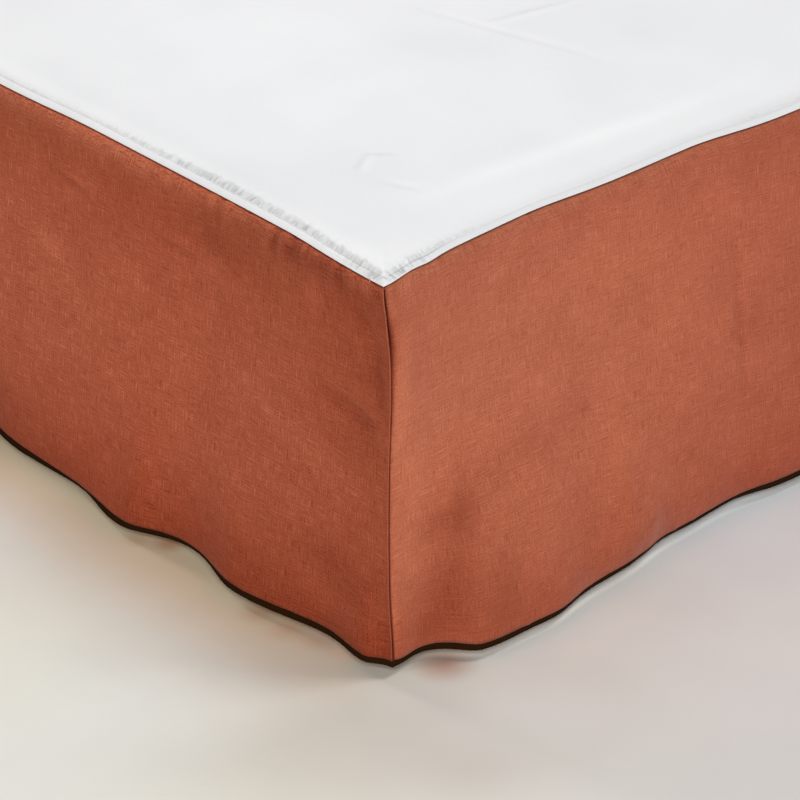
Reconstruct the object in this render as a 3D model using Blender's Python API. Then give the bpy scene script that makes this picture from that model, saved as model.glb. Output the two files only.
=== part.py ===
"""Bed skirt on a plain bed base. Metres, +Z up, +Y towards the head of the bed.

The origin is on the floor, under the middle of the centre leg. The skirt is a white cotton
deck that lies on the base, three linen panels sewn to its edge at the foot and the sides,
and a dark binding round their hem. The head end is open.
"""

import math
from collections import namedtuple

import bmesh
import bpy
import numpy as np
from mathutils import Matrix

# Bed base and its legs
BASE_WIDTH = 1.600
BASE_LENGTH = 2.000
BASE_THICKNESS = 0.220
BASE_CORNER_RADIUS = 0.034
BASE_SHOULDER_RADIUS = 0.033
BASE_BOTTOM_RADIUS = 0.008
BASE_BEVEL_STEPS = 5
LEG_FOOT_RADIUS = 0.021
LEG_TOP_RADIUS = 0.030
LEG_EDGE_BEVEL = 0.0015
LEG_SIDES = 20
LEG_INSET = 0.115

# Cloth: how thick it is, how clear it lies and hangs, and where its seam and hem are
DECK_TOP = 0.371
CLOTH = 0.0015
GAP = 0.00035
SEAM_GAP = 0.0005
HANG_GAP = 0.0026
SHOULDER_RADIUS = 0.032
SEAM_TURN = math.radians(49)
SEAM_SETTLE = 0.050
HEM_CLEARANCE = 0.010
BINDING_HEIGHT = 0.006
BINDING_THICKNESS = 0.0024
CORNER_FADE = 0.150
LEAN_SHARE = 0.8
ROLL_HEIGHT = 0.035

# Where the grids of points that shape the cloth lie
FRONT_LENGTH = 0.540
FRONT_STEP = 0.020
LONG_STEP = 0.034
HEAD_STEP = 0.200
SHOULDER_ROWS = 2

BASE_TOP = DECK_TOP - CLOTH - GAP
BASE_BOTTOM = BASE_TOP - BASE_THICKNESS
HANG_X = BASE_WIDTH / 2 + HANG_GAP + CLOTH
HANG_Y = BASE_LENGTH / 2 + HANG_GAP + CLOTH
SHOULDER_Z = DECK_TOP - SHOULDER_RADIUS
BINDING_TOP = HEM_CLEARANCE + BINDING_HEIGHT
HEM_Z = BINDING_TOP + GAP
PANEL_LEVELS = (0.290, 0.220, 0.160, 0.110, 0.072, 0.040, HEM_Z)

# The order of the sides round the deck, and whether each runs that way or the other
ROUND_DECK = (("right", 1), ("head", 1), ("left", -1), ("foot", -1))

# A fold of a hanging panel: where its crest is along the panel, how far it falls away
# before and after that, how far it stands out at the hem, and how far up it reaches.
Fold = namedtuple("Fold", "at before after out reach")

# A stretch where the seam has crept up over the base's rounded edge, by an angle in degrees.
Creep = namedtuple("Creep", "at before after turn")

# A stretch of hem that has rolled inwards, by this much at the end of the linen.
Roll = namedtuple("Roll", "at before after inward")

FOOT_FOLDS = (
    Fold(0.023, 0.012, 0.032, 0.0103, 0.100),
    Fold(0.168, 0.085, 0.048, 0.0164, 0.170),
    Fold(0.289, 0.061, 0.048, 0.0093, 0.120),
    Fold(0.312, 0.032, 0.181, 0.0115, 0.150),
    Fold(0.536, 0.035, 0.070, -0.0079, 0.120),
    Fold(0.690, 0.080, 0.055, 0.021, 0.190),
    Fold(0.880, 0.050, 0.095, 0.016, 0.150),
    Fold(1.090, 0.085, 0.060, 0.024, 0.210),
    Fold(1.265, 0.045, 0.070, 0.013, 0.140),
    Fold(1.450, 0.075, 0.060, 0.022, 0.180),
    Fold(1.600, 0.040, 0.030, 0.009, 0.110),
)
RIGHT_FOLDS = (
    Fold(0.011, 0.028, 0.013, 0.0038, 0.070),
    Fold(0.073, 0.019, 0.048, 0.0265, 0.200),
    Fold(0.147, 0.064, 0.049, 0.0297, 0.230),
    Fold(0.248, 0.077, 0.041, 0.0276, 0.170),
    Fold(0.291, 0.024, 0.100, 0.0095, 0.130),
    Fold(0.453, 0.037, 0.040, 0.0070, 0.100),
    Fold(0.560, 0.070, 0.090, 0.013, 0.160),
    Fold(0.775, 0.055, 0.075, 0.022, 0.200),
    Fold(0.930, 0.050, 0.080, 0.012, 0.140),
    Fold(1.140, 0.080, 0.060, 0.026, 0.220),
    Fold(1.330, 0.060, 0.085, 0.015, 0.160),
    Fold(1.540, 0.070, 0.055, 0.024, 0.190),
    Fold(1.710, 0.050, 0.070, 0.011, 0.130),
    Fold(1.885, 0.070, 0.060, 0.020, 0.180),
)
LEFT_FOLDS = (
    Fold(0.004, 0.030, 0.036, 0.008, 0.100),
    Fold(0.150, 0.070, 0.060, 0.023, 0.180),
    Fold(0.335, 0.050, 0.080, 0.014, 0.150),
    Fold(0.540, 0.085, 0.060, 0.027, 0.220),
    Fold(0.720, 0.055, 0.070, 0.013, 0.140),
    Fold(0.925, 0.075, 0.065, 0.023, 0.200),
    Fold(1.120, 0.050, 0.085, 0.015, 0.160),
    Fold(1.330, 0.080, 0.055, 0.025, 0.200),
    Fold(1.520, 0.055, 0.080, 0.012, 0.140),
    Fold(1.730, 0.070, 0.060, 0.022, 0.190),
    Fold(1.925, 0.060, 0.050, 0.014, 0.150),
)
FOOT_CREEPS = (
    Creep(0.135, 0.061, 0.175, 5.7),
    Creep(0.390, 0.193, 0.072, 5.5),
    Creep(0.820, 0.150, 0.180, 10.0),
    Creep(1.310, 0.160, 0.120, 8.0),
)
RIGHT_CREEPS = (
    Creep(0.053, 0.020, 0.020, -3.9),
    Creep(0.170, 0.252, 0.076, 12.7),
    Creep(0.363, 0.204, 0.072, 13.4),
    Creep(0.760, 0.160, 0.180, 14.0),
    Creep(1.240, 0.180, 0.150, 10.0),
    Creep(1.660, 0.150, 0.170, 13.0),
)
LEFT_CREEPS = (
    Creep(0.210, 0.110, 0.170, 12.0),
    Creep(0.640, 0.170, 0.140, 9.0),
    Creep(1.080, 0.150, 0.190, 14.0),
    Creep(1.590, 0.190, 0.160, 11.0),
)
FOOT_ROLLS = (
    Roll(0.140, 0.050, 0.040, -0.003),
    Roll(0.262, 0.045, 0.045, 0.005),
    Roll(0.330, 0.030, 0.035, -0.003),
    Roll(0.420, 0.040, 0.060, 0.003),
    Roll(0.980, 0.090, 0.080, 0.006),
    Roll(1.360, 0.070, 0.080, 0.004),
)
RIGHT_ROLLS = (
    Roll(0.262, 0.060, 0.060, 0.008),
    Roll(0.410, 0.070, 0.090, 0.004),
    Roll(0.860, 0.080, 0.100, 0.006),
    Roll(1.240, 0.090, 0.070, 0.005),
    Roll(1.640, 0.080, 0.090, 0.006),
)
LEFT_ROLLS = (
    Roll(0.245, 0.080, 0.070, 0.005),
    Roll(0.640, 0.090, 0.080, 0.006),
    Roll(1.230, 0.080, 0.090, 0.006),
    Roll(1.620, 0.080, 0.070, 0.004),
)
FOOT_LEAN = 0.0085
RIGHT_LEAN = 0.018
LEFT_LEAN = 0.013

LINEN_COLOUR = (0.434, 0.127, 0.065)
COTTON_COLOUR = (0.860, 0.865, 0.875)
BINDING_COLOUR = (0.011, 0.006, 0.004)
BASE_COLOUR = (0.520, 0.480, 0.410)
WOOD_COLOUR = (0.360, 0.210, 0.110)


def ease(share):
    """A smooth step from 0 to 1."""
    share = min(1.0, max(0.0, share))
    return share * share * (3 - 2 * share)


def fade(distance):
    """1 at a corner, falling to 0 away from it."""
    return 1 - ease(distance / CORNER_FADE)


def hump(at, row):
    """1 at the row's place, falling away smoothly before and after it."""
    width = row.before if at < row.at else row.after
    return math.exp(-(((at - row.at) / width) ** 2))


def arc_inset(turn):
    """How far inside the hang plane the shoulder is, where it has turned this far from level."""
    return SHOULDER_RADIUS * (1 - math.sin(turn))


def arc_drop(turn):
    return SHOULDER_RADIUS * (1 - math.cos(turn))


def unit(vectors):
    return vectors / np.linalg.norm(vectors, axis=-1, keepdims=True)


def mitre(first, second):
    """The offset that keeps two sheets with these normals one unit thick where they meet."""
    return (first + second) / (1 + np.sum(first * second, axis=-1, keepdims=True))


class Side:
    """One side of the bed: where its cloth lies on the shoulder and hangs below it.

    starts and ends are the sides that meet it there, with the distance along them."""

    def __init__(self, corner, along, outward, length, folds=(), creeps=(), rolls=(), lean=0.0):
        self.corner = np.array(corner)
        self.along = np.array(along)
        self.outward = np.array(outward)
        self.length = length
        self.folds = folds
        self.creeps = creeps
        self.rolls = rolls
        self.lean = lean
        self.starts = None
        self.ends = None

    def stations(self, runs):
        """Distances along the side, at about the given step up to each stop."""
        found = [0.0]
        for stop, step in runs:
            count = round((stop - found[-1]) / step)
            found.extend(np.linspace(found[-1], stop, count + 1)[1:])
        return found

    def seam_turn(self, at):
        """How far the cloth has turned from level where the seam is."""
        settled = ease(at / SEAM_SETTLE) * ease((self.length - at) / SEAM_SETTLE)
        creep = sum(row.turn * hump(at, row) for row in self.creeps)
        return SEAM_TURN - math.radians(creep) * settled

    def stand(self, at, z):
        """How far out of the hang plane the cloth stands."""
        out = self.lean * ease((SHOULDER_Z - z) / ((SHOULDER_Z - HEM_Z) * LEAN_SHARE))
        for row in self.folds:
            out += row.out * hump(at, row) * ease((HEM_Z + row.reach - z) / row.reach)
        rolled = max(0.0, 1 - (z - HEM_Z) / ROLL_HEIGHT)
        for row in self.rolls:
            out -= row.inward * hump(at, row) * rolled**2
        return out

    def place(self, at, out, z, start_shift, end_shift):
        """A point, with the ends of the side shifted along it."""
        along = at + start_shift * fade(at) - end_shift * fade(self.length - at)
        spot = self.corner + self.along * along + self.outward * out
        return np.array((spot[0], spot[1], z))

    def shoulder_point(self, at, turn, corner_turn):
        inset = arc_inset(corner_turn)
        return self.place(at, -arc_inset(turn), DECK_TOP - arc_drop(turn), inset, inset)

    def shoulder_normal(self, at, turn):
        return np.array((*(self.outward * math.sin(turn)), math.cos(turn)))

    def hanging_point(self, at, z):
        shifts = [-mate[0].stand(mate[1], z) if mate else 0.0 for mate in (self.starts, self.ends)]
        return self.place(at, self.stand(at, z), z, *shifts)


def bed_sides():
    """The four sides by name. The head has no panel, so it has no folds."""
    width, length = 2 * HANG_X, 2 * HANG_Y
    sides = {
        "foot": Side(
            (HANG_X, -HANG_Y), (-1, 0), (0, -1), width, FOOT_FOLDS, FOOT_CREEPS, FOOT_ROLLS, FOOT_LEAN
        ),
        "right": Side(
            (HANG_X, -HANG_Y), (0, 1), (1, 0), length, RIGHT_FOLDS, RIGHT_CREEPS, RIGHT_ROLLS, RIGHT_LEAN
        ),
        "left": Side(
            (-HANG_X, -HANG_Y), (0, 1), (-1, 0), length, LEFT_FOLDS, LEFT_CREEPS, LEFT_ROLLS, LEFT_LEAN
        ),
        "head": Side((HANG_X, HANG_Y), (-1, 0), (0, 1), width),
    }
    sides["foot"].starts = (sides["right"], 0.0)
    sides["foot"].ends = (sides["left"], 0.0)
    sides["right"].starts = (sides["foot"], 0.0)
    sides["left"].starts = (sides["foot"], width)
    return sides


def side_stations(sides):
    """Where along each side its columns of points stand."""
    return {
        name: side.stations(
            {
                "foot": ((FRONT_LENGTH, FRONT_STEP), (side.length, LONG_STEP)),
                "right": ((FRONT_LENGTH, FRONT_STEP), (side.length, LONG_STEP)),
                "left": ((side.length, LONG_STEP),),
                "head": ((side.length, HEAD_STEP),),
            }[name]
        )
        for name, side in sides.items()
    }


def panel_grid(side, stations):
    """A panel's outer face, in rows from its seam down to its hem, and its normals."""
    points, normals = [], []
    for step in range(SHOULDER_ROWS + 1):
        share = step / SHOULDER_ROWS
        corner_turn = SEAM_TURN + (math.pi / 2 - SEAM_TURN) * share
        turns = [side.seam_turn(at) + (math.pi / 2 - side.seam_turn(at)) * share for at in stations]
        row = [side.shoulder_point(at, turn, corner_turn) for at, turn in zip(stations, turns)]
        points.append(row)
        normals.append([side.shoulder_normal(at, turn) for at, turn in zip(stations, turns)])
    for z in PANEL_LEVELS:
        points.append([side.hanging_point(at, z) for at in stations])
    points = np.array(points)
    across = unit(np.cross(np.gradient(points, axis=0), np.gradient(points, axis=1)))
    if np.dot(across[-1, 1, :2], side.outward) < 0:
        across = -across
    across[: SHOULDER_ROWS + 1] = np.array(normals)
    across[-1, :, 2] = 0
    return points, unit(across)


def make_panels(sides, stations, linen):
    """The linen panels. Where two meet they are mitred, with a fine gap between them."""
    names = ("foot", "right", "left")
    grids = {name: panel_grid(sides[name], stations[name]) for name in names}
    inner = {name: points - CLOTH * normals for name, (points, normals) in grids.items()}
    for mate, column in (("right", 0), ("left", -1)):
        points, normals = (grid[:, column].copy() for grid in grids["foot"])
        mate_normals = grids[mate][1][:, 0].copy()
        inner_points = points - CLOTH * mitre(normals, mate_normals)
        part = unit(normals - mate_normals) * SEAM_GAP / 2
        for name, end, move in (("foot", column, part), (mate, 0, -part)):
            grids[name][0][:, end] = points + move
            inner[name][:, end] = inner_points + move
        head_end, head_normals = grids[mate][0][:, -1], head_end_normals(sides["head"], len(points))
        inner[mate][:, -1] = head_end - CLOTH * mitre(grids[mate][1][:, -1], head_normals)
    for name, way in ROUND_DECK:
        if name in names:
            outer_grid, inner_grid = grids[name][0][:, ::way], inner[name][:, ::way]
            make_sheet("skirt_panel_" + name, outer_grid, inner_grid, linen)


def head_end_normals(head, rows):
    """The head side's normals at its corners, for the rows of a panel that ends there."""
    turns = [SEAM_TURN + (math.pi / 2 - SEAM_TURN) * step / SHOULDER_ROWS for step in range(rows)]
    return np.array([head.shoulder_normal(0.0, min(turn, math.pi / 2)) for turn in turns])


def deck_rings(sides, stations):
    """Closed lines of points round the deck, from its edge to where it lies flat, top and under."""
    edge = GAP / SHOULDER_RADIUS
    tops, unders = [], []
    for step in range(SHOULDER_ROWS + 1):
        share = 1 - step / SHOULDER_ROWS
        corner_turn = (SEAM_TURN - edge) * share
        points, normals = [], []
        for name, way in ROUND_DECK:
            side = sides[name]
            line = []
            for at in stations[name]:
                turn = (side.seam_turn(at) - edge) * share
                line.append((side.shoulder_point(at, turn, corner_turn), side.shoulder_normal(at, turn)))
            line = line[::way]
            if points:
                normals[-1] = mitre(normals[-1], line[0][1])
                line = line[1:]
            points.extend(point for point, _ in line)
            normals.extend(normal for _, normal in line)
        normals[0] = mitre(normals[0], normals.pop())
        points.pop()
        tops.append(np.array(points))
        unders.append(np.array(points) - CLOTH * np.array(normals))
    return tops, unders


def make_deck(sides, stations, cotton):
    """The cotton deck: flat in the middle, turned down over the shoulder to its seam."""
    tops, unders = deck_rings(sides, stations)
    count = len(tops[0])
    rings = [*reversed(unders), *tops]
    faces = []
    for ring in range(len(rings) - 1):
        for here in range(count):
            there = (here + 1) % count
            first, second = ring * count, (ring + 1) * count
            faces.append((first + here, first + there, second + there, second + here))
    last = (len(rings) - 1) * count
    faces.append(tuple(reversed(range(count))))
    faces.append(tuple(last + corner for corner in range(count)))
    make_mesh("skirt_deck", np.concatenate(rings), faces, cotton)


def hem_line(sides, stations, z):
    """The line of the hem at one height: up the left side, along the foot and up the right side."""
    line = []
    for name, way in (("left", -1), ("foot", -1), ("right", 1)):
        points = [sides[name].hanging_point(at, z) for at in stations[name]][::way]
        line.extend(points if not line else points[1:])
    return np.array(line)


def line_normals(line):
    """At each point of a level line, the offset that keeps a strip along it one unit thick."""
    runs = unit(np.diff(line, axis=0))
    outward = np.stack([runs[:, 1], -runs[:, 0], np.zeros(len(runs))], axis=-1)
    before = np.concatenate([outward[:1], outward])
    after = np.concatenate([outward, outward[-1:]])
    return mitre(before, after)


def make_binding(sides, stations, dark):
    """The narrow dark binding, one strip all round the hem."""
    outer, inner = [], []
    for z in (BINDING_TOP, HEM_CLEARANCE):
        line = hem_line(sides, stations, z)
        normals = line_normals(line)
        middle = line - normals * CLOTH / 2
        outer.append(middle + normals * BINDING_THICKNESS / 2)
        inner.append(middle - normals * BINDING_THICKNESS / 2)
    make_sheet("hem_binding", np.array(outer), np.array(inner), dark)


def make_sheet(name, outer, inner, material):
    """A closed sheet from the grids of points of its two faces."""
    rows, columns = outer.shape[:2]
    count = rows * columns
    faces = []
    for row in range(rows - 1):
        for column in range(columns - 1):
            first = row * columns + column
            quad = (first, first + 1, first + columns + 1, first + columns)
            faces.append(quad)
            faces.append(tuple(count + corner for corner in reversed(quad)))
    rim = list(range(columns))
    rim += [row * columns + columns - 1 for row in range(1, rows)]
    rim += [(rows - 1) * columns + column for column in range(columns - 2, -1, -1)]
    rim += [row * columns for row in range(rows - 2, 0, -1)]
    for here, there in zip(rim, rim[1:] + rim[:1]):
        faces.append((there, here, count + here, count + there))
    make_mesh(name, np.concatenate([outer.reshape(-1, 3), inner.reshape(-1, 3)]), faces, material)


def make_mesh(name, points, faces, material):
    mesh = bpy.data.meshes.new(name)
    mesh.from_pydata([tuple(point) for point in points], [], faces)
    shape = bmesh.new()
    shape.from_mesh(mesh)
    finish(name, shape, mesh, material)


def finish(name, shape, mesh, material):
    """Turns the faces outwards, and puts the shape in the scene as one named object."""
    bmesh.ops.recalc_face_normals(shape, faces=shape.faces)
    shape.to_mesh(mesh)
    shape.free()
    mesh.shade_smooth()
    mesh.set_sharp_from_angle(angle=math.radians(50))
    mesh.materials.append(material)
    thing = bpy.data.objects.new(name, mesh)
    bpy.context.scene.collection.objects.link(thing)
    return thing


def upright(edge):
    ends = [corner.co for corner in edge.verts]
    return abs(ends[0].z - ends[1].z) > BASE_THICKNESS / 2


def rim_edges(shape, z):
    return [edge for edge in shape.edges if all(abs(v.co.z - z) < GAP for v in edge.verts)]


def round_edges(shape, edges, radius):
    bmesh.ops.bevel(
        shape, geom=edges, offset=radius, segments=BASE_BEVEL_STEPS, profile=0.5, affect="EDGES"
    )


def make_base(ticking):
    """The plain upholstered base, with rounded corners and a soft shoulder at its top."""
    middle = (BASE_TOP + BASE_BOTTOM) / 2
    sizes = Matrix.Diagonal((BASE_WIDTH, BASE_LENGTH, BASE_THICKNESS, 1))
    shape = bmesh.new()
    bmesh.ops.create_cube(shape, size=1, matrix=Matrix.Translation((0, 0, middle)) @ sizes)
    round_edges(shape, [edge for edge in shape.edges if upright(edge)], BASE_CORNER_RADIUS)
    round_edges(shape, rim_edges(shape, BASE_TOP), BASE_SHOULDER_RADIUS)
    round_edges(shape, rim_edges(shape, BASE_BOTTOM), BASE_BOTTOM_RADIUS)
    finish("bed_base", shape, bpy.data.meshes.new("bed_base"), ticking)


def make_leg(name, x, y, wood):
    """A turned leg, wider at its top, with a flat foot on the floor."""
    height = BASE_BOTTOM - GAP
    shape = bmesh.new()
    bmesh.ops.create_cone(
        shape,
        cap_ends=True,
        segments=LEG_SIDES,
        radius1=LEG_FOOT_RADIUS,
        radius2=LEG_TOP_RADIUS,
        depth=height,
        matrix=Matrix.Translation((0, 0, height / 2)),
    )
    rims = rim_edges(shape, 0) + rim_edges(shape, height)
    bmesh.ops.bevel(shape, geom=rims, offset=LEG_EDGE_BEVEL, segments=1, affect="EDGES")
    leg = finish(name, shape, bpy.data.meshes.new(name), wood)
    leg.location = (x, y, 0)


def make_legs(wood):
    x = BASE_WIDTH / 2 - LEG_INSET
    y = BASE_LENGTH / 2 - LEG_INSET
    make_leg("leg_centre", 0, 0, wood)
    make_leg("leg_foot_right", x, -y, wood)
    make_leg("leg_foot_left", -x, -y, wood)
    make_leg("leg_head_right", x, y, wood)
    make_leg("leg_head_left", -x, y, wood)


def principled(name, colour, roughness):
    material = bpy.data.materials.new(name)
    material.use_nodes = True
    shader = material.node_tree.nodes["Principled BSDF"]
    shader.inputs["Base Color"].default_value = (*colour, 1)
    shader.inputs["Roughness"].default_value = roughness
    shader.inputs["Metallic"].default_value = 0
    return material


def main():
    for thing in list(bpy.data.objects):
        bpy.data.objects.remove(thing)
    sides = bed_sides()
    stations = side_stations(sides)
    make_base(principled("base_ticking", BASE_COLOUR, 0.9))
    make_legs(principled("leg_wood", WOOD_COLOUR, 0.5))
    make_deck(sides, stations, principled("deck_cotton", COTTON_COLOUR, 0.9))
    make_panels(sides, stations, principled("skirt_linen", LINEN_COLOUR, 0.85))
    make_binding(sides, stations, principled("binding_dark", BINDING_COLOUR, 0.7))


main()
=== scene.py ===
# Bed skirt of terracotta linen with a white cotton deck, hung round a plain bed base.
# Metres, +Z up, +Y towards the head of the bed.

import math

import bmesh
import bpy
import numpy as np
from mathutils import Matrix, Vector


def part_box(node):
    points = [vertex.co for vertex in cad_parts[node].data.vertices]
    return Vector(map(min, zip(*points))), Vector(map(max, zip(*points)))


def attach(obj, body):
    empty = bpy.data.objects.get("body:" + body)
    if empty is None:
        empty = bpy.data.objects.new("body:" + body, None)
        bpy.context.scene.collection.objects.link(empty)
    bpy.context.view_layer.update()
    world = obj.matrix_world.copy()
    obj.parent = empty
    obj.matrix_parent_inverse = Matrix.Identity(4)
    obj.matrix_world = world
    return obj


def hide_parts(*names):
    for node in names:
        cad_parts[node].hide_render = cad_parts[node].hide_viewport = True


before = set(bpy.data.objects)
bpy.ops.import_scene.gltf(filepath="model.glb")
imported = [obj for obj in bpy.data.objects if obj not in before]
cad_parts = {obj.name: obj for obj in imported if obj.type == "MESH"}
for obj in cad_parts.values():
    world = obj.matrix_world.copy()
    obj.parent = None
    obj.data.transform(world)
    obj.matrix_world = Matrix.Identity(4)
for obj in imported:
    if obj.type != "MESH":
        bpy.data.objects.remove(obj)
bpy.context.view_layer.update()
baseLow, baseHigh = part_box("bed_base")
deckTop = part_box("skirt_deck")[1].z
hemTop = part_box("hem_binding")[1].z
print("frame loaded: a base of", [round(size, 3) for size in baseHigh - baseLow])

# how the cloth hangs, in the sizes that the solids have
hang = {
    "clear": 0.0041,            # from the base's side to the cloth's outer face
    "shoulderRadius": 0.032,
    "seamTurn": math.radians(49),
    "seamSettle": 0.050,
    "cornerFade": 0.150,
    "leanShare": 0.8,
    "rollHeight": 0.035,
    "bowStart": 0.020,          # a bow sets in over this height below the seam
    "hemGap": 0.0003,
}
hangX = baseHigh.x + hang["clear"]
hangY = baseHigh.y + hang["clear"]
shoulderZ = deckTop - hang["shoulderRadius"]
hemZ = hemTop + hang["hemGap"]
seamZ = deckTop - hang["shoulderRadius"] * (1 - math.cos(hang["seamTurn"]))

# folds: at, before, after, out at the hem, reach up.  creeps: at, before, after, degrees.
# rolls: at, before, after, inward at the hem.  bows: at, before, after, height, below, above, out.
footShape = {
    "lean": 0.0085,
    "folds": [
        (0.023, 0.012, 0.032, 0.0103, 0.100), (0.168, 0.085, 0.048, 0.0164, 0.170),
        (0.289, 0.061, 0.048, 0.0093, 0.120), (0.312, 0.032, 0.181, 0.0115, 0.150),
        (0.536, 0.035, 0.070, -0.0079, 0.120), (0.690, 0.080, 0.055, 0.021, 0.190),
        (0.880, 0.050, 0.095, 0.016, 0.150), (1.090, 0.085, 0.060, 0.024, 0.210),
        (1.265, 0.045, 0.070, 0.013, 0.140), (1.450, 0.075, 0.060, 0.022, 0.180),
        (1.600, 0.040, 0.030, 0.009, 0.110),
    ],
    "creeps": [
        (0.135, 0.061, 0.175, 5.7), (0.390, 0.193, 0.072, 5.5),
        (0.820, 0.150, 0.180, 10.0), (1.310, 0.160, 0.120, 8.0),
    ],
    "rolls": [
        (0.140, 0.050, 0.040, -0.003), (0.262, 0.045, 0.045, 0.005),
        (0.330, 0.030, 0.035, -0.003), (0.420, 0.040, 0.060, 0.003),
        (0.980, 0.090, 0.080, 0.006), (1.360, 0.070, 0.080, 0.004),
    ],
    "bows": [
        (0.300, 0.450, 0.500, 0.118, 0.058, 0.080, 0.0055),
        (1.150, 0.300, 0.300, 0.150, 0.080, 0.080, 0.0040),
    ],
}
rightShape = {
    "lean": 0.018,
    "folds": [
        (0.011, 0.028, 0.013, 0.0038, 0.070), (0.073, 0.019, 0.048, 0.0265, 0.200),
        (0.147, 0.064, 0.049, 0.0297, 0.230), (0.248, 0.077, 0.041, 0.0276, 0.170),
        (0.291, 0.024, 0.100, 0.0095, 0.130), (0.453, 0.037, 0.040, 0.0070, 0.100),
        (0.560, 0.070, 0.090, 0.013, 0.160), (0.775, 0.055, 0.075, 0.022, 0.200),
        (0.930, 0.050, 0.080, 0.012, 0.140), (1.140, 0.080, 0.060, 0.026, 0.220),
        (1.330, 0.060, 0.085, 0.015, 0.160), (1.540, 0.070, 0.055, 0.024, 0.190),
        (1.710, 0.050, 0.070, 0.011, 0.130), (1.885, 0.070, 0.060, 0.020, 0.180),
    ],
    "creeps": [
        (0.053, 0.020, 0.020, -3.9), (0.170, 0.252, 0.076, 12.7), (0.363, 0.204, 0.072, 13.4),
        (0.760, 0.160, 0.180, 14.0), (1.240, 0.180, 0.150, 10.0), (1.660, 0.150, 0.170, 13.0),
    ],
    "rolls": [
        (0.262, 0.060, 0.060, 0.008), (0.410, 0.070, 0.090, 0.004), (0.860, 0.080, 0.100, 0.006),
        (1.240, 0.090, 0.070, 0.005), (1.640, 0.080, 0.090, 0.006),
    ],
    "bows": [
        (0.0, 0.030, 0.040, 0.290, 0.085, 0.054, 0.0085),
        (0.300, 0.400, 0.500, 0.125, 0.062, 0.085, 0.0040),
        (1.300, 0.400, 0.400, 0.150, 0.080, 0.080, 0.0040),
    ],
}
leftShape = {
    "lean": 0.013,
    "folds": [
        (0.004, 0.030, 0.036, 0.008, 0.100), (0.150, 0.070, 0.060, 0.023, 0.180),
        (0.335, 0.050, 0.080, 0.014, 0.150), (0.540, 0.085, 0.060, 0.027, 0.220),
        (0.720, 0.055, 0.070, 0.013, 0.140), (0.925, 0.075, 0.065, 0.023, 0.200),
        (1.120, 0.050, 0.085, 0.015, 0.160), (1.330, 0.080, 0.055, 0.025, 0.200),
        (1.520, 0.055, 0.080, 0.012, 0.140), (1.730, 0.070, 0.060, 0.022, 0.190),
        (1.925, 0.060, 0.050, 0.014, 0.150),
    ],
    "creeps": [
        (0.210, 0.110, 0.170, 12.0), (0.640, 0.170, 0.140, 9.0),
        (1.080, 0.150, 0.190, 14.0), (1.590, 0.190, 0.160, 11.0),
    ],
    "rolls": [
        (0.245, 0.080, 0.070, 0.005), (0.640, 0.090, 0.080, 0.006),
        (1.230, 0.080, 0.090, 0.006), (1.620, 0.080, 0.070, 0.004),
    ],
    "bows": [],
}
bareShape = {"lean": 0.0, "folds": [], "creeps": [], "rolls": [], "bows": []}


def ease(share):
    share = np.clip(share, 0, 1)
    return share * share * (3 - 2 * share)


def hump(at, centre, before, after):
    return np.exp(-((at - centre) / np.where(at < centre, before, after)) ** 2)


def cornerShare(distance):
    return 1 - ease(distance / hang["cornerFade"])


def arcInset(turn):
    return hang["shoulderRadius"] * (1 - np.sin(turn))


def arcDrop(turn):
    return hang["shoulderRadius"] * (1 - np.cos(turn))


def unit(vectors):
    return vectors / np.maximum(np.linalg.norm(vectors, axis=-1, keepdims=True), 1e-12)


class BedSide:
    # where one side's cloth lies on the shoulder and hangs below it

    def __init__(self, corner, along, outward, length, shape):
        self.corner = np.array(corner)
        self.along = np.array(along)
        self.outward = np.array(outward)
        self.length = length
        self.shape = shape
        self.starts = None
        self.ends = None

    def seamTurn(self, at):
        settle = hang["seamSettle"]
        settled = ease(at / settle) * ease((self.length - at) / settle)
        creep = sum((turn * hump(at, *place) for *place, turn in self.shape["creeps"]), np.zeros_like(at))
        return hang["seamTurn"] - np.radians(creep) * settled

    def stand(self, at, z):
        at, z = np.broadcast_arrays(np.asarray(at, float), np.asarray(z, float))
        drop = (shoulderZ - z) / ((shoulderZ - hemZ) * hang["leanShare"])
        out = self.shape["lean"] * ease(drop)
        for centre, before, after, height, reach in self.shape["folds"]:
            out = out + height * hump(at, centre, before, after) * ease((hemZ + reach - z) / reach)
        rolled = np.maximum(0, 1 - (z - hemZ) / hang["rollHeight"]) ** 2
        for centre, before, after, inward in self.shape["rolls"]:
            out = out - inward * hump(at, centre, before, after) * rolled
        return out + self.bow(at, z)

    def bow(self, at, z):
        out = np.zeros(np.broadcast(at, z).shape)
        held = ease((seamZ - z) / hang["bowStart"])
        for centre, before, after, height, below, above, outward in self.shape["bows"]:
            out = out + outward * hump(at, centre, before, after) * hump(z, height, below, above) * held
        return out

    def place(self, at, out, z, startShift, endShift):
        shifted = at + startShift * cornerShare(at) - endShift * cornerShare(self.length - at)
        spot = self.corner + shifted[..., None] * self.along + out[..., None] * self.outward
        return np.concatenate([spot, np.broadcast_to(z, shifted.shape)[..., None]], axis=-1)

    def shoulderPoint(self, at, turn, cornerInset):
        z = deckTop - arcDrop(turn)
        bows = [mate[0].bow(mate[1], z) if mate else 0.0 for mate in (self.starts, self.ends)]
        shifts = [cornerInset - bow for bow in bows]
        return self.place(at, self.bow(at, z) - arcInset(turn), z, *shifts)

    def hangingPoint(self, at, z):
        shifts = [-mate[0].stand(mate[1], z) if mate else 0.0 for mate in (self.starts, self.ends)]
        return self.place(at, self.stand(at, z), z, *shifts)


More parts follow.
